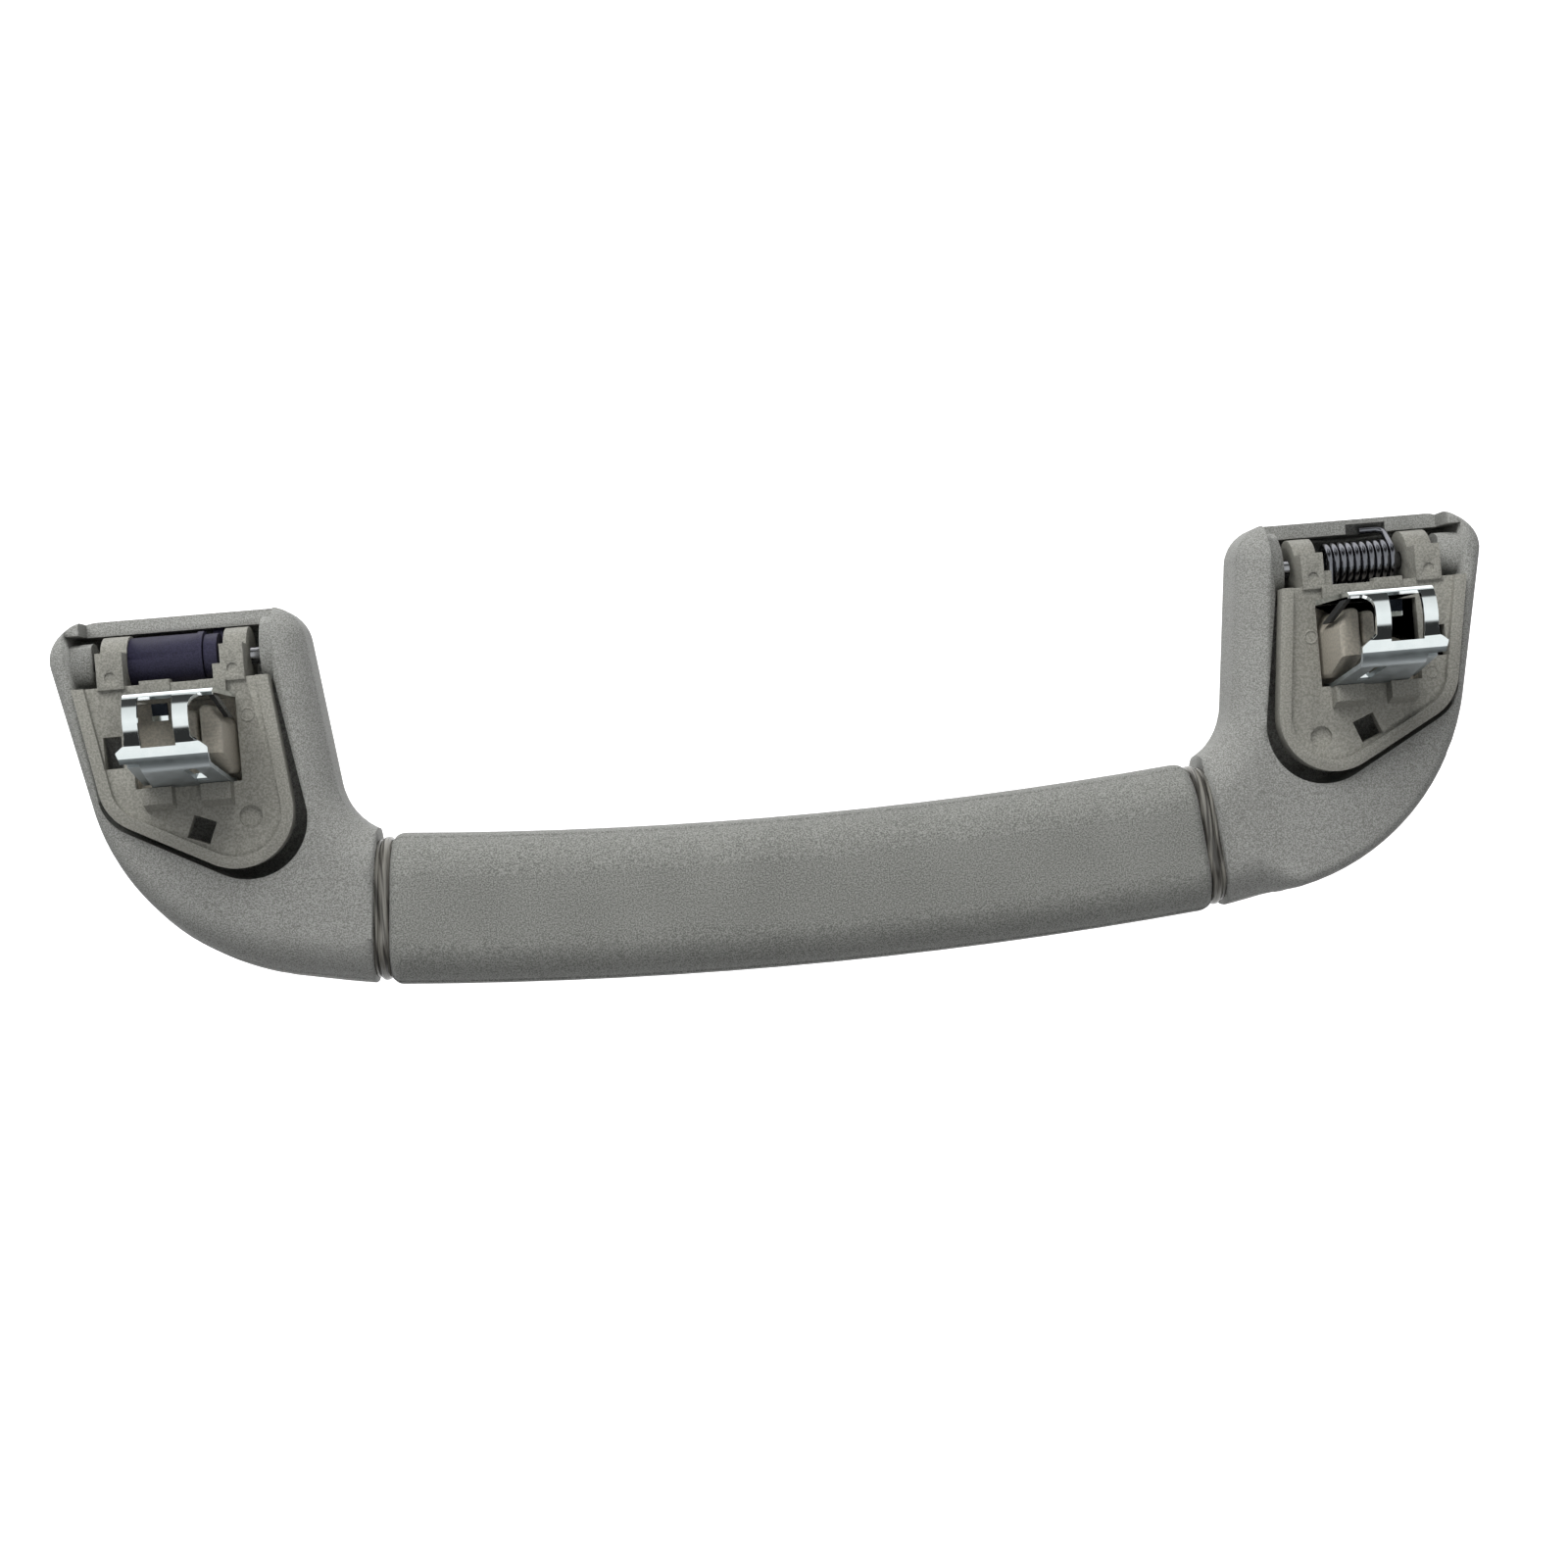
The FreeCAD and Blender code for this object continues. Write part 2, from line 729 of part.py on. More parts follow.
for name, side in SIDES:
    bosses.append(rod(name + "_boss", side, boss_reach, outer_wall + LAP - boss_reach,
                      S.boss_radius))
    bosses.append(rod(name + "_lip", side, inner_wall - LAP, S.lip_width + LAP, S.lip_radius))
handle = fuse([handle] + bosses, "handle_with_bosses")
for name, side in SIDES:
    bore = rod(name + "_pin_bore", side, S.pin_inner_reach, pin_length, S.pin_radius)
    handle = cut(handle, bore, name + "_pin_seat")
NODES["handle_body"] = handle

# Grip sleeve
skin = bowed_bar("skin", sleeve_half, S.grip_width, front_z, S.grip_depth, grip_rounding)


def on_sleeve_end(edge):
    """Edges that lie in one of the two end planes."""
    middle = (edge.FirstParameter + edge.LastParameter) / 2
    for parameter in (edge.FirstParameter, middle, edge.LastParameter):
        point = edge.valueAt(parameter)
        turn = math.atan2(abs(point.x), bow_centre_y.value - point.y)
        if abs(turn - sleeve_half.value / S.grip_bow_radius.value) > 1e-5:
            return False
    return True


round_edges(skin, on_sleeve_end, S.sleeve_end_rounding, "sleeve_soft_ends")
core_wall = S.sleeve_wall - S.sleeve_fit
core = bowed_bar("sleeve_core", bar_half, S.grip_width - core_wall * 2, front_z + core_wall,
                 S.grip_depth - core_wall * 2, grip_rounding - core_wall)
NODES["grip_sleeve"] = cut(skin, core, "sleeve_moulding")


# Mounting brackets

def bracket(name, side, recess_y):
    """Moulded plate with a rim, two hinge ears, a well for the clip and its stops."""
    body = new_body(name)
    plan = [(S.plate_inner_reach, S.plate_top_y), (S.plate_outer_reach, S.plate_top_y),
            (S.plate_side_reach, S.plate_side_y), (S.plate_low_reach, S.plate_low_y)]
    prism(body, name + "_plate", side, plan, plate_low_z, S.plate_depth)
    for part, corner, radius in (("side", plan[2], S.plate_side_radius),
                                 ("low", plan[3], S.plate_low_radius)):
        round_edges(body, along(2, spot(side, *corner) + (0,)), radius,
                    name + "_plate_" + part)
    top_y = S.plate_top_y.value

    def open_face(face):
        middle = face.CenterOfMass
        return abs(middle.z) < CLOSE or abs(middle.y - top_y) < CLOSE

    solid = body.Tip
    tray = body.newObject("PartDesign::Thickness", name + "_tray")
    tray.Base = (solid, face_names(solid.Shape, open_face))
    tray.Reversed = True
    tray.Join = "Intersection"
    tray.Value = S.plate_wall.value
    bind(tray, "Value", S.plate_wall)
    doc.recompute()
    stop_root_z = plate_floor_z - LAP
    stop_top_z = plate_floor_z + S.stop_height
    stop = [(S.stop_y, stop_root_z), (S.stop_y + S.stop_length, stop_root_z),
            (S.stop_y + S.stop_length, stop_top_z), (S.stop_y + S.stop_slope, stop_top_z)]
    for part, reach in (("inner", S.stop_inner_reach), ("outer", S.stop_outer_reach)):
        sideways(body, name + "_" + part + "_stop", side, reach, S.stop_width, points=stop)
    ear = [(ear_root_y, S.hinge_z), (S.ear_top_y, S.hinge_z),
           (S.ear_top_y, S.ear_top_z), (ear_root_y, S.ear_top_z)]
    for part, reach, width in (("inner", inner_ear_reach, S.inner_ear_width),
                               ("outer", outer_ear_reach, S.outer_ear_width)):
        sideways(body, name + "_" + part + "_ear", side, reach, width, points=ear)
        sideways(body, name + "_" + part + "_knuckle", side, reach, width,
                 ring=S.knuckle_radius)
    prism(body, name + "_ear_step", side,
          box_plan(inner_ear_reach + S.inner_ear_width - LAP, S.ear_step_width + LAP,
                   ear_root_y, S.ear_step_y - ear_root_y),
          plate_low_z, S.plate_depth - S.ear_step_drop)
    prism(body, name + "_guide", side,
          box_plan(S.guide_reach, S.guide_width, S.plate_top_y - S.guide_length,
                   S.guide_length),
          plate_low_z, S.plate_depth - S.guide_drop)
    prism(body, name + "_top_tab", side,
          box_plan(S.top_tab_reach, S.top_tab_width, S.plate_top_y - S.top_tab_root,
                   S.top_tab_root + S.top_tab_height),
          plate_low_z, S.plate_depth - S.top_tab_drop)
    hole(body, name + "_well", side,
         box_plan(S.well_inner_reach, S.well_outer_reach - S.well_inner_reach,
                  S.clip_low_y - S.clip_side_gap,
                  S.clip_high_y - S.clip_low_y + S.clip_side_gap * 2),
         plate_low_z - PAST, S.plate_depth + S.stop_height + PAST * 2)
    turn = math.radians(S.window_turn.value)
    half = S.window_size / 2
    window = []
    for a, b in SQUARE:
        window.append((S.window_reach + half * (a * math.cos(turn) - b * math.sin(turn)),
                       S.window_y + half * (a * math.sin(turn) + b * math.cos(turn))))
    hole(body, name + "_window", side, window, plate_low_z - PAST,
         S.plate_depth + PAST)
    hole(body, name + "_side_window", side,
         box_plan(S.side_window_reach, S.side_window_width, S.side_window_y,
                  S.side_window_height), plate_low_z - PAST, S.plate_depth + PAST)
    round_hole(body, name + "_recess", side, S.recess_reach, recess_y, S.recess_radius,
               plate_floor_z - S.recess_depth, S.recess_depth + PAST)
    for part, reach in (("inner", inner_ear_reach + S.inner_ear_width / 2),
                        ("outer", outer_ear_reach + S.outer_ear_width / 2)):
        round_hole(body, name + "_" + part + "_mark", side, reach, S.mark_y, S.mark_radius,
                   S.ear_top_z - S.mark_depth, S.mark_depth + PAST)
    ears_start = inner_ear_reach - PAST
    ears_end = outer_ear_reach + S.outer_ear_width + PAST
    round_cut(body, name + "_pin_hole", side, ears_start, ears_end - ears_start,
              S.pin_radius + S.pin_run_gap)
    return body


right_bracket = bracket("right_bracket", 1, S.right_recess_y)
spring_seat_z = S.hinge_z + S.spring_radius + S.spring_wire / 2 + S.spring_seat_gap
prism(right_bracket, "spring_seat", 1,
      box_plan(S.spring_seat_reach, S.spring_seat_width, S.plate_top_y - S.spring_seat_length,
               S.spring_seat_length),
      spring_seat_z, plate_floor_z - spring_seat_z)
left_bracket = bracket("left_bracket", -1, S.left_recess_y)
lug_half = S.lug_size / 2 + S.lug_gap
lug_room = S.lug_depth + S.lug_gap
lug_sketch = sketch_on(left_bracket, "lug_seat_profile", "YZ_Plane",
                       span(-1, outer_ear_reach - LAP, lug_room + LAP))
corners(lug_sketch, [(S.hinge_y + lug_half * a, S.hinge_z + lug_half * b)
                     for a, b in SQUARE])
pocket(left_bracket, lug_sketch, lug_room + LAP, "lug_seat")
NODES["right_bracket"] = right_bracket
NODES["left_bracket"] = left_bracket


# Spring clips

def spring_clip(name, side):
    """Folded sheet: back wall, two straps over the arch, shoulder band, slanted leg."""
    body = new_body(name)
    foot_z = plate_low_z - S.clip_seat_gap - S.clip_sheet
    start = S.clip_shift - S.clip_width / 2
    bends = [(S.clip_low_y, S.clip_knee_z, S.clip_bend),
             (S.clip_shoulder_y, S.clip_shoulder_z, S.clip_bend),
             (S.clip_neck_y, S.clip_neck_z, S.clip_bend),
             (S.clip_arch_y, S.clip_top_z, S.clip_arch_bend),
             (S.clip_high_y, S.clip_top_z, S.clip_top_bend)]
    profile = [(S.clip_low_y, foot_z)] + [(y, z) for y, z, _ in bends]
    profile.append((S.clip_high_y, foot_z))
    sideways(body, name + "_fold", side, start, S.clip_width, points=profile)
    for i, (y, z, radius) in enumerate(bends):
        round_edges(body, along(0, (0, y, z)), radius, "%s_bend_%d" % (name, i))
    low = foot_z.value
    solid = body.Tip

    def open_face(face):
        flat = face.Surface.TypeId == "Part::GeomPlane"
        across = flat and abs(abs(face.normalAt(0, 0).x) - 1) < CLOSE
        return across or abs(face.CenterOfMass.z - low) < CLOSE

    sheet_metal = body.newObject("PartDesign::Thickness", name + "_sheet")
    sheet_metal.Base = (solid, face_names(solid.Shape, open_face))
    sheet_metal.Reversed = True
    sheet_metal.Value = S.clip_sheet.value
    bind(sheet_metal, "Value", S.clip_sheet)
    doc.recompute()
    check(sheet_metal)
    strap_start = S.clip_strap_reach
    strap_end = strap_start + S.clip_strap_span
    leg_end = strap_end - S.clip_leg_inset
    band_end = strap_end + S.clip_band_reach
    tip = start + S.clip_width - S.clip_band_inset
    back_y = S.clip_high_y - S.clip_sheet - S.clip_wall_gap
    plan = [(S.clip_leg_reach, S.clip_low_y - PAST),
            (S.clip_leg_reach + S.clip_leg_lean, S.clip_leg_root_y),
            (strap_start, S.clip_strap_low_y),
            (strap_start, back_y), (start - PAST, back_y),
            (start - PAST, S.clip_high_y + PAST), (strap_end, S.clip_high_y + PAST),
            (strap_end, S.clip_strap_root_y), (band_end, S.clip_band_high_y),
            (tip, S.clip_band_tip_y), (band_end, S.clip_band_low_y),
            (leg_end, S.clip_shoulder_y), (leg_end + S.clip_leg_flare, S.clip_low_y - PAST)]
    frame = box_plan(start - PAST * 2, S.clip_width + PAST * 3, S.clip_low_y - PAST * 2,
                     S.clip_high_y - S.clip_low_y + PAST * 4)
    trim = sketch_on(body, name + "_trim_plan", "XY_Plane", S.clip_knee_z)
    corners(trim, [spot(side, *place) for place in frame])
    corners(trim, [spot(side, *place) for place in plan])
    pocket(body, trim, S.clip_top_z, name + "_trim")
    hole(body, name + "_window", side,
         box_plan(strap_start + S.clip_strap_width, S.clip_strap_span - S.clip_strap_width * 2,
                  S.clip_window_low_y,
                  S.clip_high_y - S.clip_window_lip - S.clip_window_low_y),
         S.clip_window_z, S.clip_top_z)
    wing_y = S.clip_high_y - S.clip_sheet / 2
    sideways(body, name + "_wing", side, start, S.clip_sheet,
             points=[(wing_y, S.clip_wing_top_z), (wing_y - S.clip_wing_depth, S.clip_wing_knee_z),
                     (wing_y - S.clip_wing_depth, S.clip_wing_low_z),
                     (wing_y, S.clip_wing_low_z)])
    slot = front_sketch(body, name + "_slot_profile", S.clip_neck_y)
    slot_x = span(side, S.clip_slot_reach, S.clip_slot_width)
    corners(slot, [(slot_x, S.clip_slot_z), (slot_x + S.clip_slot_width, S.clip_slot_z),
                   (slot_x + S.clip_slot_width, S.clip_slot_z + S.clip_slot_height),
                   (slot_x, S.clip_slot_z + S.clip_slot_height)])
    pocket(body, slot, S.clip_neck_y - S.clip_low_y + PAST, name + "_slot")
    for part, low_y in (("low", S.clip_low_y - S.clip_foot),
                        ("high", S.clip_high_y - S.clip_sheet)):
        prism(body, name + "_" + part + "_foot", side,
              box_plan(start + S.clip_foot_inset, S.clip_foot_width, low_y,
                       S.clip_foot + S.clip_sheet),
              foot_z, S.clip_sheet)
    return body


for name, side in SIDES:
    NODES[name + "_clip"] = spring_clip(name + "_clip", side)


# Lock caps
# Rounding of a key's upper edges, as a share of the rounding of its sides
CROWN_SHARE = 0.7


def rounded_post(body, name, side, plan, low_z, top_z, radius):
    """Upright key with every upper edge and side rounded."""
    prism(body, name, side, plan, low_z, top_z - low_z)
    for i, place in enumerate(plan):
        round_edges(body, along(2, spot(side, *place) + (0,)), radius,
                    "%s_side_%d" % (name, i))
    round_edges(body, at_level(top_z), radius * CROWN_SHARE, name + "_crown")


def lock_cap(name, side):
    """Shallow tray under the plate with two keys that stand in the clip."""
    body = new_body(name)
    top_z = plate_low_z - S.cap_gap
    low_z = top_z - S.cap_depth
    start = S.cap_shift - S.cap_width / 2
    plan = box_plan(start, S.cap_width, S.cap_low_y, S.cap_high_y - S.cap_low_y)
    prism(body, name + "_tray", side, plan, low_z, S.cap_depth)
    for i, place in enumerate(plan):
        round_edges(body, along(2, spot(side, *place) + (0,)), S.cap_corner_radius,
                    "%s_corner_%d" % (name, i))
    solid = body.Tip
    top = top_z.value
    shell = body.newObject("PartDesign::Thickness", name + "_shell")
    shell.Base = (solid, face_names(solid.Shape,
                                    lambda face: abs(face.CenterOfMass.z - top) < CLOSE))
    shell.Reversed = True
    shell.Value = S.cap_wall.value
    bind(shell, "Value", S.cap_wall)
    doc.recompute()
    check(shell)
    root_z = low_z + S.cap_wall / 2
    key_end = S.key_reach + S.key_width
    key_plan = [(S.key_reach, S.key_low_y), (key_end, S.key_low_y), (key_end, S.key_high_y),
                (S.key_reach + S.key_corner_width, S.key_high_y),
                (S.key_reach, S.key_corner_y)]
    rounded_post(body, name + "_key", side, key_plan, root_z, S.key_top_z, S.key_rounding)
    lean = sketch_on(body, name + "_lean_profile", "YZ_Plane",
                     span(side, S.key_reach - PAST, S.key_width + PAST * 2))
    corners(lean, [(S.key_low_y, S.clip_knee_z),
                   (S.key_low_y + S.key_lean, S.key_top_z + PAST),
                   (S.key_low_y - PAST, S.key_top_z + PAST),
                   (S.key_low_y - PAST, S.clip_knee_z)])
    pocket(body, lean, S.key_width + PAST * 2, name + "_lean")
    rounded_post(body, name + "_prong", side,
                 box_plan(S.prong_reach, S.prong_width, S.prong_low_y, S.prong_length),
                 root_z, S.prong_top_z, S.prong_rounding)
    return body


for name, side in SIDES:
    NODES[name + "_lock_cap"] = lock_cap(name + "_lock_cap", side)


# Hinge pins

def hinge_pin(name, side):
    body = new_body(name)
    sideways(body, name + "_bar", side, S.pin_inner_reach, pin_length, ring=S.pin_radius)
    bar_end = body.Tip
    chamfer = body.newObject("PartDesign::Chamfer", name + "_chamfer")
    chamfer.Base = (bar_end, edge_names(
        bar_end.Shape, lambda edge: edge.Curve.TypeId == "Part::GeomCircle"))
    chamfer.Size = S.pin_chamfer.value
    bind(chamfer, "Size", S.pin_chamfer)
    doc.recompute()
    check(chamfer)
    return body


for name, side in SIDES:
    NODES[name + "_hinge_pin"] = hinge_pin(name + "_hinge_pin", side)


# Swing damper on the left pin
bore_radius = S.damper_radius - S.damper_wall
pin_room = S.pin_radius + S.rotor_bore_gap

barrel = new_body("damper_housing")
sideways(barrel, "barrel", -1, barrel_start, barrel_length, ring=S.damper_radius)
sideways(barrel, "barrel_collar", -1, barrel_start, S.damper_collar,
         ring=S.damper_collar_radius)
lug = [(S.hinge_y + S.lug_size / 2 * a, S.hinge_z + S.lug_size / 2 * b)
       for a, b in SQUARE]
sideways(barrel, "barrel_lug", -1, outer_ear_reach - LAP, S.lug_depth + LAP, points=lug)
round_cut(barrel, "barrel_bore", -1, barrel_start, barrel_length - S.damper_base,
          bore_radius)
round_cut(barrel, "barrel_pin_hole", -1, barrel_start, barrel_length + S.lug_depth,
          pin_room)
NODES["damper_housing"] = barrel

hub_length = S.flange_width + barrel_length - S.damper_base
disc_width = barrel_length - S.damper_base - S.rotor_disc_start - S.rotor_disc_end_gap
rotor = new_body("damper_rotor")
sideways(rotor, "rotor_hub", -1, flange_start, hub_length, ring=S.rotor_hub_radius)
sideways(rotor, "rotor_flange", -1, flange_start, S.flange_width, ring=S.flange_radius)
sideways(rotor, "rotor_disc", -1, barrel_start + S.rotor_disc_start, disc_width,
         ring=bore_radius - S.damper_run_gap)
tab_root = S.hinge_y + S.rotor_tab_root
tab_length = back_wall_y + S.rotor_slot_depth - S.lug_gap - tab_root
sideways(rotor, "rotor_tab", -1, flange_start, S.rotor_tab_width,
         points=box_plan(tab_root, tab_length, rotor_tab_z, S.rotor_tab_height))
round_cut(rotor, "rotor_bore", -1, flange_start, hub_length, pin_room)
NODES["damper_rotor"] = rotor

end_cap = new_body("damper_end_cap")
sideways(end_cap, "end_cap_ring", -1, barrel_start, S.end_cap_width, ring=bore_radius)
round_cut(end_cap, "end_cap_bore", -1, barrel_start, S.end_cap_width,
          S.rotor_hub_radius + S.damper_run_gap)
NODES["damper_end_cap"] = end_cap

seal = doc.addObject("Part::Torus", "damper_seal_ring")
seal.Placement = Placement(Vector(0, 0, 0), Rotation(Vector(0, 1, 0), 90))
for prop, size in (("Radius1", (S.rotor_hub_radius + bore_radius) / 2),
                   ("Radius2", S.seal_wire / 2),
                   ("Placement.Base.x", span(-1, barrel_start + S.end_cap_width
                                             + S.seal_wire, 0)),
                   ("Placement.Base.y", S.hinge_y), ("Placement.Base.z", S.hinge_z)):
    bind(seal, prop, size)
doc.recompute()
NODES["damper_seal_ring"] = seal


# Torsion spring on the right pin

def spring_path():
    """Centre line: leg on the bracket, left-hand coils, leg and hook in the handle."""
    radius = S.spring_radius.value
    turns = S.spring_turns.value
    pitch = spring_length.value / turns
    coil = Part.makeLongHelix(pitch, spring_length.value, radius, 0, True)
    axes = Rotation(Vector(0, 0, 1), Vector(0, -1, 0), Vector(1, 0, 0), "ZXY")
    start_x = half_pitch.value + S.spring_inner_reach.value + S.spring_wire.value / 2
    home = Placement(Vector(start_x, S.hinge_y.value, S.hinge_z.value), axes)
    coil.transformShape(home.toMatrix())
    rise = math.atan2(pitch, 2 * math.pi * radius)
    turn = 2 * math.pi * turns

    def place(angle):
        """Point and direction of travel on the coil."""
        point = Vector(start_x + pitch * angle / (2 * math.pi),
                       S.hinge_y.value + radius * math.sin(angle),
                       S.hinge_z.value + radius * math.cos(angle))
        way = Vector(math.sin(rise), math.cos(angle) * math.cos(rise),
                     -math.sin(angle) * math.cos(rise))
        return point, way

    first, first_way = place(0)
    last, last_way = place(turn)
    foot = first - first_way * S.spring_bracket_leg.value
    corner = last + last_way * S.spring_handle_leg.value
    hook_way = Vector(-1, 0, 0)
    swing = hook_way.getAngle(last_way)
    trim = S.spring_bend_radius.value * math.tan(swing / 2)
    bend_start = corner - last_way * trim
    bend_end = corner + hook_way * trim
    inward = (hook_way - last_way).normalize()
    depth = S.spring_bend_radius.value * (1 / math.cos(swing / 2) - 1)
    middle = corner + inward * depth
    hook_end = corner + hook_way * S.spring_hook.value
    edges = [Part.LineSegment(foot, first).toShape()] + coil.Edges
    edges += [Part.LineSegment(last, bend_start).toShape(),
              Part.Arc(bend_start, middle, bend_end).toShape(),
              Part.LineSegment(bend_end, hook_end).toShape()]
    return Part.Wire(Part.__sortEdges__(edges)), foot, first_way


path, foot, way = spring_path()
section = Part.Wire(Part.makeCircle(S.spring_wire.value / 2, foot, way))
spring = doc.addObject("Part::Feature", "torsion_spring")
spring.Shape = path.makePipeShell([section], True, True)
NODES["torsion_spring"] = spring

# Check every object, then write one file for each piece
doc.recompute()
for item in doc.Objects:
    if "Invalid" in item.State or "Error" in item.State:
        raise RuntimeError("%s didn't build: %s" % (item.Name, item.getStatusString()))
for name, item in NODES.items():
    item.Label = name
    shape = item.Shape
    if shape.isNull() or not shape.isValid() or len(shape.Solids) != 1:
        raise RuntimeError(name + " isn't one sound solid")
os.makedirs("parts", exist_ok=True)
for name, item in NODES.items():
    item.Shape.exportStep(os.path.join("parts", name + ".step"))
    box = item.Shape.BoundBox
    print("%-18s %8.1f mm3  x %.2f %.2f  y %.2f %.2f  z %.2f %.2f" % (
        name, item.Shape.Volume, box.XMin, box.XMax, box.YMin, box.YMax, box.ZMin, box.ZMax))
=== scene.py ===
import json
import math

import bmesh
import bpy
from mathutils import Matrix, Vector

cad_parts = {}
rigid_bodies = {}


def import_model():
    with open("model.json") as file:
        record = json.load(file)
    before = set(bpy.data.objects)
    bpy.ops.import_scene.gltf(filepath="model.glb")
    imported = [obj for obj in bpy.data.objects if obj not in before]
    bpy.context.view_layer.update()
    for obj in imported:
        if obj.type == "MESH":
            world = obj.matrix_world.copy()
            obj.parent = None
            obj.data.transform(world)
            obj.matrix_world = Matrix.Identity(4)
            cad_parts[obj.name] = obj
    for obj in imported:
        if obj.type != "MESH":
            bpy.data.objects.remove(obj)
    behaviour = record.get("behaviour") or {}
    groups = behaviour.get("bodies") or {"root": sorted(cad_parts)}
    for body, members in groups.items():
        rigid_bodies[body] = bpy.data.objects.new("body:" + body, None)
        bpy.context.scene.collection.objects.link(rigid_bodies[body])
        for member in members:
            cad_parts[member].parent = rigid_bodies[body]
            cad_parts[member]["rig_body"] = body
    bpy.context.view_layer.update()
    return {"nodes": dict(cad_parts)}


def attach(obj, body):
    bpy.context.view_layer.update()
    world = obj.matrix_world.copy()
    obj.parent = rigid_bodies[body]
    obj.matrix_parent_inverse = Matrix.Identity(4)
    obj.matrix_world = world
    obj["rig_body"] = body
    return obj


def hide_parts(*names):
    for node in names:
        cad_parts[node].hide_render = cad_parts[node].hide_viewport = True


# Folding roof grab handle, seen from the roof side, above a white table.
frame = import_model()

MM = 0.001

# Sizes in millimetres, as the part has them: the grip's bow and section, the clips' distance
# from the middle and the floor of the plates
BOW_CENTRE_Y = 747.8
BOW_RADIUS = 780.0
BAR_WIDTH = 22.7
BAR_DEPTH = 14.8
BAR_ROUNDING = 6.4
GRIP_MID_Z = -11.0
CLIP_X = 100.0
PLATE_FLOOR_Z = -1.2


# Helpers

def colour(code):
    """sRGB hex, such as "8c8678", as linear RGBA."""
    parts = [int(code[i:i + 2], 16) / 255 for i in (0, 2, 4)]
    linear = [p / 12.92 if p <= 0.04045 else ((p + 0.055) / 1.055) ** 2.4 for p in parts]
    return (*linear, 1.0)


def add(tree, kind, inputs=None, **settings):
    """One node with its settings, and with each input set to a value or linked to a socket."""
    made = tree.nodes.new(kind)
    for name, value in settings.items():
        setattr(made, name, value)
    for name, value in (inputs or {}).items():
        if isinstance(value, bpy.types.NodeSocket):
            tree.links.new(value, made.inputs[name])
        else:
            made.inputs[name].default_value = value
    return made


def new_material(name):
    material = bpy.data.materials.new(name)
    material.use_nodes = True
    material.node_tree.nodes.clear()
    return material, material.node_tree


def placed(name, data):
    """New object in the scene."""
    piece = bpy.data.objects.new(name, data)
    bpy.context.scene.collection.objects.link(piece)
    return piece


def only(piece):
    """Make one object the only selected and active one."""
    bpy.ops.object.select_all(action="DESELECT")
    piece.select_set(True)
    bpy.context.view_layer.objects.active = piece


def dress(piece, material, body, angle=35):
    """Shading, material and body of a finished piece."""
    only(piece)
    bpy.ops.object.shade_smooth_by_angle(angle=math.radians(angle))
    piece.data.materials.clear()
    piece.data.materials.append(material)
    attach(piece, body)


def soften(piece, name, width, angle, miter="MITER_SHARP"):
    """Round every edge that is sharper than the angle."""
    bevel = piece.modifiers.new(name, "BEVEL")
    bevel.width = width * MM
    bevel.segments = 2
    bevel.limit_method = "ANGLE"
    bevel.angle_limit = math.radians(angle)
    bevel.miter_outer = miter
    bpy.ops.object.modifier_apply(modifier=bevel.name)


def seam(mesh, height, width, lift):
    """Fine raised parting line of the mould, all round at one height."""
    for level in (height - width, height, height + width):
        bmesh.ops.bisect_plane(mesh, geom=mesh.verts[:] + mesh.edges[:] + mesh.faces[:],
                               plane_co=(0, 0, level * MM), plane_no=(0, 0, 1))
    mesh.normal_update()
    for vert in mesh.verts:
        if abs(vert.co.z - height * MM) < 0.001 * MM:
            vert.co += vert.normal * lift * MM


def moulding(node, name, material, slot, edge=0.0, angle=35, parting=None):
    """Finished copy of a CAD node: facets joined, sharp edges rounded, smooth shading."""
    source = frame["nodes"][node]
    piece = placed(name, source.data.copy())
    mesh = bmesh.new()
    mesh.from_mesh(piece.data)
    bmesh.ops.remove_doubles(mesh, verts=mesh.verts, dist=0.002 * MM)
    bmesh.ops.dissolve_limit(mesh, angle_limit=math.radians(0.2), verts=mesh.verts,
                             edges=mesh.edges)
    if parting:
        seam(mesh, *parting)
    mesh.to_mesh(piece.data)
    mesh.free()
    only(piece)
    if edge:
        soften(piece, "soft_edges", edge, angle, "MITER_ARC")
    dress(piece, material, source["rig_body"], angle)
    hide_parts(node)


# Camera: the photograph's own place, solved from both ends of the handle

camera = placed("camera", bpy.data.cameras.new("camera"))
camera.data.lens = 50
camera.data.sensor_width = 36
camera.data.clip_start = 0.01
camera.data.clip_end = 10
looking = Matrix.Rotation(math.radians(5.02), 3, "Z") @ Matrix.Rotation(math.radians(3.2), 3, "Y")
camera.matrix_world = Matrix.LocRotScale(
    Vector((-22.3, -13.7, 366.4)) * MM, looking.transposed().to_quaternion(), None)
bpy.context.scene.camera = camera
bpy.context.scene.view_settings.view_transform = "Standard"


# Materials

# Patterns per metre, from their real widths: clouds of the melt are 22 mm wide, clouds in plating
# or oil 2 mm, and polishing streaks 0.45 mm, running about 9 mm round the bar
MELT_CLOUDS = 45.0
PLATING_CLOUDS = 500.0
STREAKS = (2200, 110, 110)


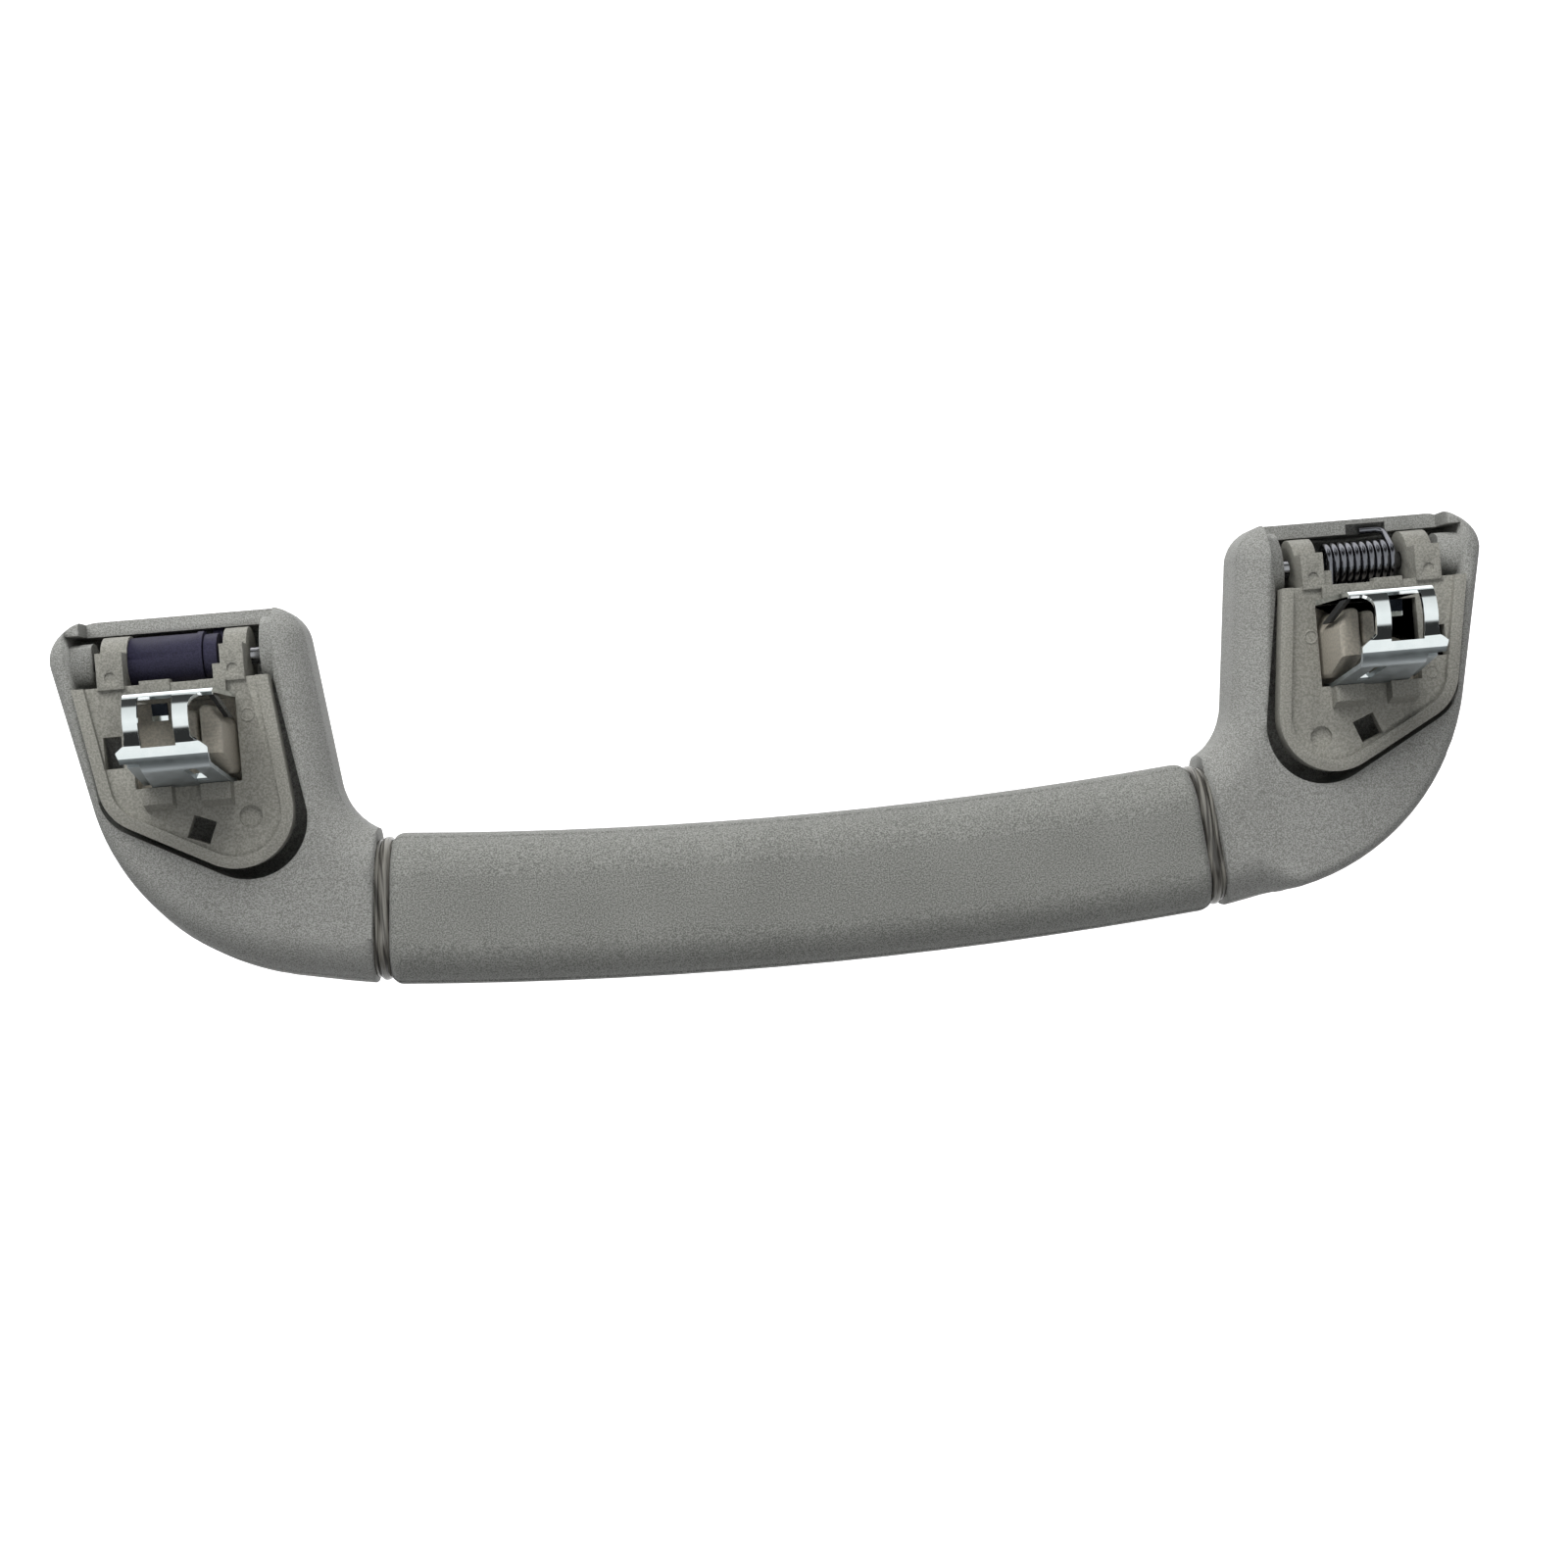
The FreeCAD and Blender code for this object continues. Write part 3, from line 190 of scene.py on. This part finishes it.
def grained(name, dark, light, grain, rough, relief, sheen=0.0):
    """Plastic or rubber from an eroded mould: a fine speckle over a faint cloud, little shine."""
    material, tree = new_material(name)
    place = add(tree, "ShaderNodeTexCoord").outputs["Object"]
    speckle = add(tree, "ShaderNodeTexNoise",
                  {"Vector": place, "Scale": 1 / (grain * MM), "Detail": 2.0, "Roughness": 0.7})
    # Flow of the melt, some centimetres wide, barely seen
    cloud = add(tree, "ShaderNodeTexNoise",
                {"Vector": place, "Scale": MELT_CLOUDS, "Detail": 2.0})
    both = add(tree, "ShaderNodeMix", {0: 0.1, 2: speckle.outputs[0], 3: cloud.outputs[0]},
               data_type="FLOAT")
    spread = add(tree, "ShaderNodeMapRange",
                 {"Value": both.outputs[0], "From Min": 0.41, "From Max": 0.59})
    paint = add(tree, "ShaderNodeMix", {0: spread.outputs[0], 6: colour(dark), 7: colour(light)},
                data_type="RGBA")
    dull = add(tree, "ShaderNodeMapRange",
               {"Value": speckle.outputs[0], "To Min": rough - 0.1, "To Max": rough + 0.1})
    pits = add(tree, "ShaderNodeBump",
               {"Height": speckle.outputs[0], "Strength": relief, "Distance": 0.06 * MM})
    surface = add(tree, "ShaderNodeBsdfPrincipled",
                  {"Base Color": paint.outputs[2], "Roughness": dull.outputs[0],
                   "Normal": pits.outputs[0], "IOR": 1.49, "Specular IOR Level": 0.35,
                   "Sheen Weight": sheen, "Sheen Roughness": 0.5})
    add(tree, "ShaderNodeOutputMaterial", {"Surface": surface.outputs[0]})
    return material


# The eroded grain is really about 0.1 mm wide. It is drawn at 0.23 mm or more, so that it shows.
# Polypropylene, moulded in an eroded tool: a dull grey with a fine, even speckle
handle_plastic = grained("spark_grained_polypropylene", "757571", "a3a4a0", 0.23, 0.62, 0.7)
# Thermoplastic rubber, moulded over the bar: darker and duller, with a soft light on its edges
sleeve_skin = grained("soft_touch_skin", "666763", "999a95", 0.25, 0.66, 0.9, 0.15)
# Acetal, moulded in a finer tool: a warmer grey, slightly shiny on edges and rims
bracket_plastic = grained("moulded_acetal", "7c7b74", "98978f", 0.34, 0.5, 0.35)
# Nylon, moulded in a smooth tool: a pale tan with a soft shine where it is rounded
key_plastic = grained("moulded_nylon", "a5a094", "bab4a6", 0.5, 0.36, 0.2)
# Acetal dyed black, moulded: almost black with a violet cast and a broad, weak highlight
damper_plastic = grained("black_acetal", "1f1e2e", "312f42", 0.26, 0.55, 0.7)
# Nitrile rubber, moulded: a flat black, sealed inside the damper
seal_rubber = grained("nitrile_rubber", "121212", "1c1c1c", 0.5, 0.7, 0.2)


def polished_groove(name, dark, light):
    """Bare plastic in the grooves: the mould was polished round the bar, so fine streaks."""
    material, tree = new_material(name)
    place = add(tree, "ShaderNodeTexCoord").outputs["Object"]
    along = add(tree, "ShaderNodeVectorMath", {0: place, 1: STREAKS},
                operation="MULTIPLY")
    streak = add(tree, "ShaderNodeTexNoise", {"Vector": along.outputs[0], "Scale": 1.0,
                                              "Detail": 2.0})
    spread = add(tree, "ShaderNodeMapRange",
                 {"Value": streak.outputs[0], "From Min": 0.4, "From Max": 0.6})
    paint = add(tree, "ShaderNodeMix", {0: spread.outputs[0], 6: colour(dark), 7: colour(light)},
                data_type="RGBA")
    ridges = add(tree, "ShaderNodeBump", {"Height": streak.outputs[0], "Strength": 0.3,
                                          "Distance": 0.05 * MM})
    surface = add(tree, "ShaderNodeBsdfPrincipled",
                  {"Base Color": paint.outputs[2], "Roughness": 0.22, "IOR": 1.49,
                   "Normal": ridges.outputs[0]})
    add(tree, "ShaderNodeOutputMaterial", {"Surface": surface.outputs[0]})
    return material


# The handle's polypropylene where its tool was polished, with shiny, uneven streaks; its darker
# colour is painted shade of the narrow groove
groove_plastic_with_painted_shade = polished_groove("polished_groove_painted_shade", "3c3a36", "7d7b74")


def drawn_metal(name, dark, light, rough):
    """Metal with the faint cloudiness of plating or oil, in its colour and its shine."""
    material, tree = new_material(name)
    place = add(tree, "ShaderNodeTexCoord").outputs["Object"]
    cloud = add(tree, "ShaderNodeTexNoise",
                {"Vector": place, "Scale": PLATING_CLOUDS, "Detail": 3.0})
    paint = add(tree, "ShaderNodeMix", {0: cloud.outputs[0], 6: colour(dark), 7: colour(light)},
                data_type="RGBA")
    dull = add(tree, "ShaderNodeMapRange",
               {"Value": cloud.outputs[0], "To Min": rough * 0.6, "To Max": rough * 1.4})
    surface = add(tree, "ShaderNodeBsdfPrincipled",
                  {"Base Color": paint.outputs[2], "Metallic": 1.0,
                   "Roughness": dull.outputs[0]})
    add(tree, "ShaderNodeOutputMaterial", {"Surface": surface.outputs[0]})
    return material


# Spring steel plated with bright nickel: mirrors the studio in sharp white and black bands
clip_metal = drawn_metal("bright_nickel_plate", "e2e9e9", "f6f9f9", 0.08)
# The same plating over a stamped, rougher face, with its colour darkened as painted shade: an even,
# soft grey
satin_painted_shade_metal = drawn_metal("satin_nickel_painted_shade", "8e9496", "a6acae", 0.5)
# Spring steel with the scale of its hardening: blue-black and half dull
# Painted shade on the spring steel: blue-black and half dull, for the clip's side wing and the
# tongue's root
painted_shade_metal = drawn_metal("painted_shade_steel", "20242c", "3a3f48", 0.3)
# Ground steel of the pins: light grey with a crisp highlight
pin_metal = drawn_metal("ground_steel", "848488", "adadb0", 0.2)
# Drawn and oiled spring wire: dark grey coils with narrow highlights
spring_metal = drawn_metal("oiled_spring_steel", "606167", "8a8b90", 0.16)


# Pieces that keep the form of their solids

HANDLE_PARTING = (-6.6, 0.2, 0.1)
SLEEVE_PARTING = (-6.8, 0.2, 0.2)
PIECES = (
    ("handle_body", "handle_moulding", handle_plastic, "handle_plastic", 0.0, 35,
     HANDLE_PARTING),
    ("grip_sleeve", "grip_skin", sleeve_skin, "grip_skin", 0.0, 35, SLEEVE_PARTING),
    ("left_bracket", "left_bracket_moulding", bracket_plastic, "bracket_plastic", 0.3, 35, None),
    ("right_bracket", "right_bracket_moulding", bracket_plastic, "bracket_plastic", 0.3, 35,
     None),
    ("left_lock_cap", "left_key", key_plastic, "cap_plastic", 0.6, 30, None),
    ("right_lock_cap", "right_key", key_plastic, "cap_plastic", 0.6, 30, None),
    ("left_hinge_pin", "left_pin", pin_metal, "pin_steel", 0.0, 35, None),
    ("right_hinge_pin", "right_pin", pin_metal, "pin_steel", 0.0, 35, None),
    ("damper_housing", "damper_barrel", damper_plastic, "damper_plastic", 0.0, 35, None),
    ("damper_rotor", "damper_flange", damper_plastic, "damper_plastic", 0.0, 35, None),
    ("damper_end_cap", "damper_ring", damper_plastic, "damper_plastic", 0.0, 35, None),
    ("damper_seal_ring", "damper_seal", seal_rubber, "seal_rubber", 0.0, 35, None),
    ("torsion_spring", "return_spring", spring_metal, "spring_steel", 0.0, 50, None),
)
for piece_spec in PIECES:
    moulding(*piece_spec)


# Spring clips, each one sheet folded along Y and trimmed in plan

# Thickness of the sheet
SHEET = 0.8
# Its finishes: bright on the wall, arch and band, satin on the leg with its colour darkened as
# painted shade, and painted shade in blue-black on the side wing and the tongue's root
BRIGHT, SATIN_PAINTED_SHADE, PAINTED_SHADE = 0, 1, 2
WALL_Y = 8.8
WALL_TOP = 15.24
FOOT_Z = -4.05
# How the sheet runs from the back wall over the arch and the band to the leg. Each stretch is
# an arc down to this Y, from the first tilt in degrees to the second, in this many steps. A
# first tilt that differs from the last one before makes a crease.
STRETCHES = ((8.35, 90.0, 32.0, 8, "arch"), (4.1, 32.0, -8.5, 16, "arch"),
             (1.4, -8.5, -22.0, 12, "arch"), (-0.6, -3.0, -6.0, 8, "band"),
             (-2.3, -6.0, -80.4, 20, "leg"))
# Y and Z where the leg ends in its foot
KNEE = (-4.6, 0.0)
LEG_STEPS = 24
# Reaches of both straps and of the leg's slot, which is cut between two heights
INNER_STRAP = (-4.15, -1.7)
OUTER_STRAP = (3.8, 6.15)
LANCED = (-4.0, -2.0)
LANCED_Z = (4.4, 14.6)
# The window between the straps along Y, the fillet from the inner strap to the wall, and the
# reach at which the wall ends
WINDOW_Y = (0.9, 8.4)
CORNER = 2.0
WALL_END = -8.0
# Inner and outer end of the sheet at places along Y, as a reach from the clip's centre
INNER_ENDS = ((2.3, -4.15), (0.3, -6.6), (-2.2, -6.6), (-4.6, -6.8))
OUTER_ENDS = ((3.0, 6.15), (1.5, 6.4), (0.35, 7.85), (-1.2, 7.3), (-1.27, 4.3), (-2.2, 4.3),
              (-4.6, 6.2))
# Flat parts that are folded or lanced out of the sheet, as finish and corners, each corner as
# reach, Y and Z: the back wall's side wing, the outer part of the leg that stands further back,
# the tongue under the leg's slot, and root and tip of the tongue inside the back wall
CLIP_PANELS = (
    # Painted shade: the side wing is coloured blue-black where the sheet shows dark
    (PAINTED_SHADE, ((WALL_END, 8.4, 15.4), (WALL_END, 8.4, 11.6), (WALL_END, 5.3, 0.6),
              (WALL_END, 5.3, 4.4))),
    (SATIN_PAINTED_SHADE, ((3.9, -1.2, 13.6), (6.9, -1.2, 13.6), (7.9, -3.9, -1.0), (5.4, -3.9, -1.0))),
    (BRIGHT, ((LANCED[0], -3.45, 4.6), (LANCED[1], -3.45, 4.6), (LANCED[1], -4.3, 4.5),
              (LANCED[0], -4.3, 4.5))),
    # Painted shade: the tongue's root is a dark sheet put inside the clip, where there is only
    # shade
    (PAINTED_SHADE, ((0.8, 8.2, 8.6), (3.3, 8.2, 8.6), (3.3, 6.3, 8.2), (0.8, 6.3, 8.2))),
    (BRIGHT, ((0.8, 6.2, 8.2), (3.3, 6.2, 8.2), (3.3, 5.4, 8.1), (0.8, 5.4, 8.1))),
)


def between(places, y):
    """Reach on a line through the given places, which run down in Y."""
    if y >= places[0][0]:
        return places[0][1]
    for (y0, a), (y1, b) in zip(places, places[1:]):
        if y >= y1:
            return a + (b - a) * (y0 - y) / (y0 - y1)
    return places[-1][1]


def sheet_rows():
    """Rows of the folded sheet from the wall's foot to the leg's, as Y, Z and stretch."""
    rows = [(WALL_Y, z, "wall") for z in (FOOT_Z, 4.0, WALL_TOP)]
    y, z = WALL_Y, WALL_TOP
    for end, first, last, steps, part in STRETCHES:
        start_sine = math.sin(math.radians(first))
        end_sine = math.sin(math.radians(last))
        radius = (y - end) / (start_sine - end_sine)
        base = z - radius * math.cos(math.radians(first))
        start = y
        for i in range(1, steps + 1):
            sine = start_sine + (end_sine - start_sine) * i / steps
            y = start + (end - start) * i / steps
            z = base + radius * math.sqrt(1 - sine * sine)
            rows.append((y, z, part))
    for i in range(1, LEG_STEPS + 1):
        share = i / LEG_STEPS
        rows.append((y + (KNEE[0] - y) * share, z + (KNEE[1] - z) * share, "leg"))
    rows.append((KNEE[0], FOOT_Z, "foot"))
    return rows


def row_reaches(y, part):
    """Reach of each column of the sheet in one row."""
    inner = between(INNER_ENDS, y)
    if y > WINDOW_Y[1] - CORNER:
        rise = min(y - (WINDOW_Y[1] - CORNER), CORNER)
        inner = INNER_STRAP[0] - CORNER + math.sqrt(CORNER * CORNER - rise * rise)
    if part == "foot":
        inner = INNER_ENDS[-1][1]
    return (WALL_END, inner, LANCED[0], LANCED[1], INNER_STRAP[1], OUTER_STRAP[0],
            between(OUTER_ENDS, y))


def cell_open(column, high, low):
    """Whether the sheet has no metal between two rows, at this column."""
    y, z = (high[0] + low[0]) / 2, (high[1] + low[1]) / 2
    if column == 0:
        return high[2] != "wall" and y < WINDOW_Y[1]
    if column == 4:
        return WINDOW_Y[0] < y < WINDOW_Y[1]
    return column == 2 and y < 0 and LANCED_Z[0] < z < LANCED_Z[1]


def panel(mesh, side, finish, corners):
    """One flat face from reach, Y and Z of its corners."""
    verts = [mesh.verts.new(Vector((side * (CLIP_X + reach), y, z)) * MM)
             for reach, y, z in corners]
    mesh.faces.new(verts if side > 0 else verts[::-1]).material_index = finish


def clip_sheet(name, node, side):
    """One clip: a grid folded to its rows, trimmed by its cells and given the sheet's thickness."""
    mesh = bmesh.new()
    rows = sheet_rows()
    grid = [[mesh.verts.new(Vector((side * (CLIP_X + reach), y, z)) * MM)
             for reach in row_reaches(y, part)] for y, z, part in rows]
    for i in range(len(rows) - 1):
        for j in range(len(grid[i]) - 1):
            if not cell_open(j, rows[i], rows[i + 1]):
                corners = (grid[i][j], grid[i][j + 1], grid[i + 1][j + 1], grid[i + 1][j])
                face = mesh.faces.new(corners if side > 0 else corners[::-1])
                # The leg and its foot get the satin plating, whose darker colour is painted shade
                face.material_index = SATIN_PAINTED_SHADE if rows[i + 1][2] in ("leg", "foot") else BRIGHT
    loose = [v for v in mesh.verts if not v.link_faces]
    bmesh.ops.delete(mesh, geom=loose, context="VERTS")
    for finish, corners in CLIP_PANELS:
        panel(mesh, side, finish, corners)
    data = bpy.data.meshes.new(name)
    mesh.to_mesh(data)
    mesh.free()
    piece = placed(name, data)
    only(piece)
    thick = piece.modifiers.new("sheet", "SOLIDIFY")
    thick.thickness = SHEET * MM
    thick.offset = -1
    thick.use_even_offset = True
    bpy.ops.object.modifier_apply(modifier=thick.name)
    soften(piece, "edges", 0.12, 50)
    finishes = [face.material_index for face in piece.data.polygons]
    dress(piece, clip_metal, frame["nodes"][node]["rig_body"], 12)
    # Second and third materials: satin plating darkened as painted shade, and blue-black painted
    # shade
    piece.data.materials.append(satin_painted_shade_metal)
    piece.data.materials.append(painted_shade_metal)
    for face, finish in zip(piece.data.polygons, finishes):
        face.material_index = finish
    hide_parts(node)


clip_sheet("left_clip_sheet", "left_clip", -1)
clip_sheet("right_clip_sheet", "right_clip", 1)


# Grooves between the sleeve and the legs

def groove_bead(name, reach, thickness):
    """Polished bead round the bar: the bar's section as a rounded loop, made into a bead."""
    bpy.ops.object.select_all(action="DESELECT")
    bpy.ops.mesh.primitive_plane_add(size=1, location=(0, 0, 0))
    loop = bpy.context.object
    loop.name = name
    loop.scale = (BAR_DEPTH * MM, BAR_WIDTH * MM, 1)
    bpy.ops.object.transform_apply(location=False, rotation=False, scale=True)
    bpy.ops.object.mode_set(mode="EDIT")
    bpy.ops.mesh.select_all(action="SELECT")
    bpy.ops.mesh.bevel(offset=BAR_ROUNDING * MM, segments=10, affect="VERTICES")
    bpy.ops.mesh.delete(type="ONLY_FACE")
    bpy.ops.object.mode_set(mode="OBJECT")
    bpy.ops.object.convert(target="CURVE")
    loop.data.bevel_depth = thickness * MM
    loop.data.bevel_resolution = 4
    bpy.ops.object.convert(target="MESH")
    turn = reach / BOW_RADIUS
    stand = Matrix.Rotation(math.radians(90), 4, "Y")
    home = Matrix.Translation(Vector((BOW_RADIUS * math.sin(turn),
                                      BOW_CENTRE_Y - BOW_RADIUS * math.cos(turn),
                                      GRIP_MID_Z)) * MM)
    loop.data.transform(home @ Matrix.Rotation(turn, 4, "Z") @ stand)
    dress(loop, groove_plastic_with_painted_shade, "handle", 60)


# Each bead's part of the groove, its reach along the bow and its thickness
GROOVE_BEADS = (("collar", 70.85, 0.95), ("lip", 72.1, 0.4))
for part, reach, thickness in GROOVE_BEADS:
    groove_bead("left_groove_bead_" + part, -reach, thickness)
    groove_bead("right_groove_bead_" + part, reach, thickness)


# Ejector marks on the plates

def ejector_mark(name, body, x, y, radius):
    """Fine raised ring that an ejector pin leaves, standing on the plate's floor."""
    bpy.ops.object.select_all(action="DESELECT")
    bpy.ops.mesh.primitive_circle_add(vertices=40, radius=radius * MM, fill_type="NGON",
                                      location=(0, 0, 0))
    ring = bpy.context.object
    ring.name = name
    bpy.ops.object.mode_set(mode="EDIT")
    bpy.ops.mesh.select_all(action="SELECT")
    bpy.ops.mesh.inset(thickness=0.12 * MM, depth=0.12 * MM)
    bpy.ops.mesh.inset(thickness=0.14 * MM, depth=0)
    bpy.ops.mesh.inset(thickness=0.12 * MM, depth=-0.12 * MM)
    bpy.ops.object.mode_set(mode="OBJECT")
    ring.data.transform(Matrix.Translation(Vector((x, y, PLATE_FLOOR_Z + 0.01)) * MM))
    dress(ring, bracket_plastic, body, 30)


EJECTOR_MARKS = (
    ("left_ejector_mark", "left_bracket", -CLIP_X + 9.95, 5.7, 1.25),
    ("right_ejector_mark", "right_bracket", CLIP_X + 11.1, -4.2, 1.2),
    ("right_inner_ejector_mark", "right_bracket", CLIP_X - 9.4, 3.5, 1.25),
)
for mark in EJECTOR_MARKS:
    ejector_mark(*mark)


# Table, light and background

# The white table lies below the reach of the handle when it is swung out
TABLE_Z = -85

bpy.ops.object.select_all(action="DESELECT")
bpy.ops.mesh.primitive_plane_add(size=6, location=(0, 0, TABLE_Z * MM))
table = bpy.context.object
table.name = "table"
white, tree = new_material("white_table")
path = add(tree, "ShaderNodeLightPath")
matt = add(tree, "ShaderNodeBsdfDiffuse", {"Color": (0.8, 0.8, 0.8, 1)})
glow = add(tree, "ShaderNodeEmission", {"Color": (1, 1, 1, 1), "Strength": 0.75})
lit = add(tree, "ShaderNodeAddShader", {0: matt.outputs[0], 1: glow.outputs[0]})
camera_or_gloss = add(tree, "ShaderNodeMath", {0: path.outputs["Is Camera Ray"],
                                               1: path.outputs["Is Glossy Ray"]},
                      operation="MAXIMUM")
seen = add(tree, "ShaderNodeMath", {0: camera_or_gloss.outputs[0],
                                    1: path.outputs["Is Transmission Ray"]},
           operation="MAXIMUM")
mixed = add(tree, "ShaderNodeMixShader", {0: seen.outputs[0], 1: matt.outputs[0],
                                          2: lit.outputs[0]})
add(tree, "ShaderNodeOutputMaterial", {"Surface": mixed.outputs[0]})
table.data.materials.append(white)

# The studio as polished metal mirrors it: black flags between white reflectors.
# Each stop is how far the direction leans towards +Y, from -1 to 1, and its brightness.
MIRRORED = ((0.0, 0.3), (0.12, 0.3), (0.15, 0.03), (0.34, 0.03), (0.37, 0.95), (0.55, 1.0),
            (0.82, 0.8), (0.85, 0.06), (0.95, 0.05), (0.965, 0.85), (1.0, 0.8))
world = bpy.data.worlds.new("studio")
world.use_nodes = True
world.node_tree.nodes.clear()
tree = world.node_tree
direction = add(tree, "ShaderNodeTexCoord").outputs["Generated"]
lean = add(tree, "ShaderNodeSeparateXYZ", {0: direction})
share = add(tree, "ShaderNodeMapRange", {"Value": lean.outputs["Y"], "From Min": -1.0,
                                         "From Max": 1.0})
flags = add(tree, "ShaderNodeValToRGB", {0: share.outputs[0]})
for i, (stop, level) in enumerate(MIRRORED):
    element = flags.color_ramp.elements[i] if i < 2 else flags.color_ramp.elements.new(stop)
    element.position = stop
    element.color = (level * 0.97, level, level, 1)
path = add(tree, "ShaderNodeLightPath")
even = add(tree, "ShaderNodeMix", {0: path.outputs["Is Glossy Ray"], 6: (0.11, 0.11, 0.12, 1),
                                   7: flags.outputs[0]}, data_type="RGBA")
shown = add(tree, "ShaderNodeMix", {0: path.outputs["Is Camera Ray"], 6: even.outputs[2],
                                    7: (1, 1, 1, 1)}, data_type="RGBA")
back = add(tree, "ShaderNodeBackground", {"Color": shown.outputs[2], "Strength": 1.0})
add(tree, "ShaderNodeOutputWorld", {"Surface": back.outputs[0]})
bpy.context.scene.world = world


def softbox(name, place, aim, size, power):
    """Rectangular lamp turned towards a spot, which metal doesn't mirror."""
    data = bpy.data.lights.new(name, "AREA")
    data.shape = "RECTANGLE"
    data.size, data.size_y = size
    data.energy = power
    lamp = placed(name, data)
    lamp.location = place
    lamp.rotation_mode = "QUATERNION"
    lamp.rotation_quaternion = (Vector(aim) - Vector(place)).to_track_quat("-Z", "Y")
    lamp.visible_glossy = False


softbox("key_softbox", (-0.2, 0.64, 0.5), (0, 0, 0), (0.8, 0.5), 8.6)
softbox("fill_softbox", (0.1, -0.4, 0.8), (0, 0, 0), (0.5, 0.4), 2.2)
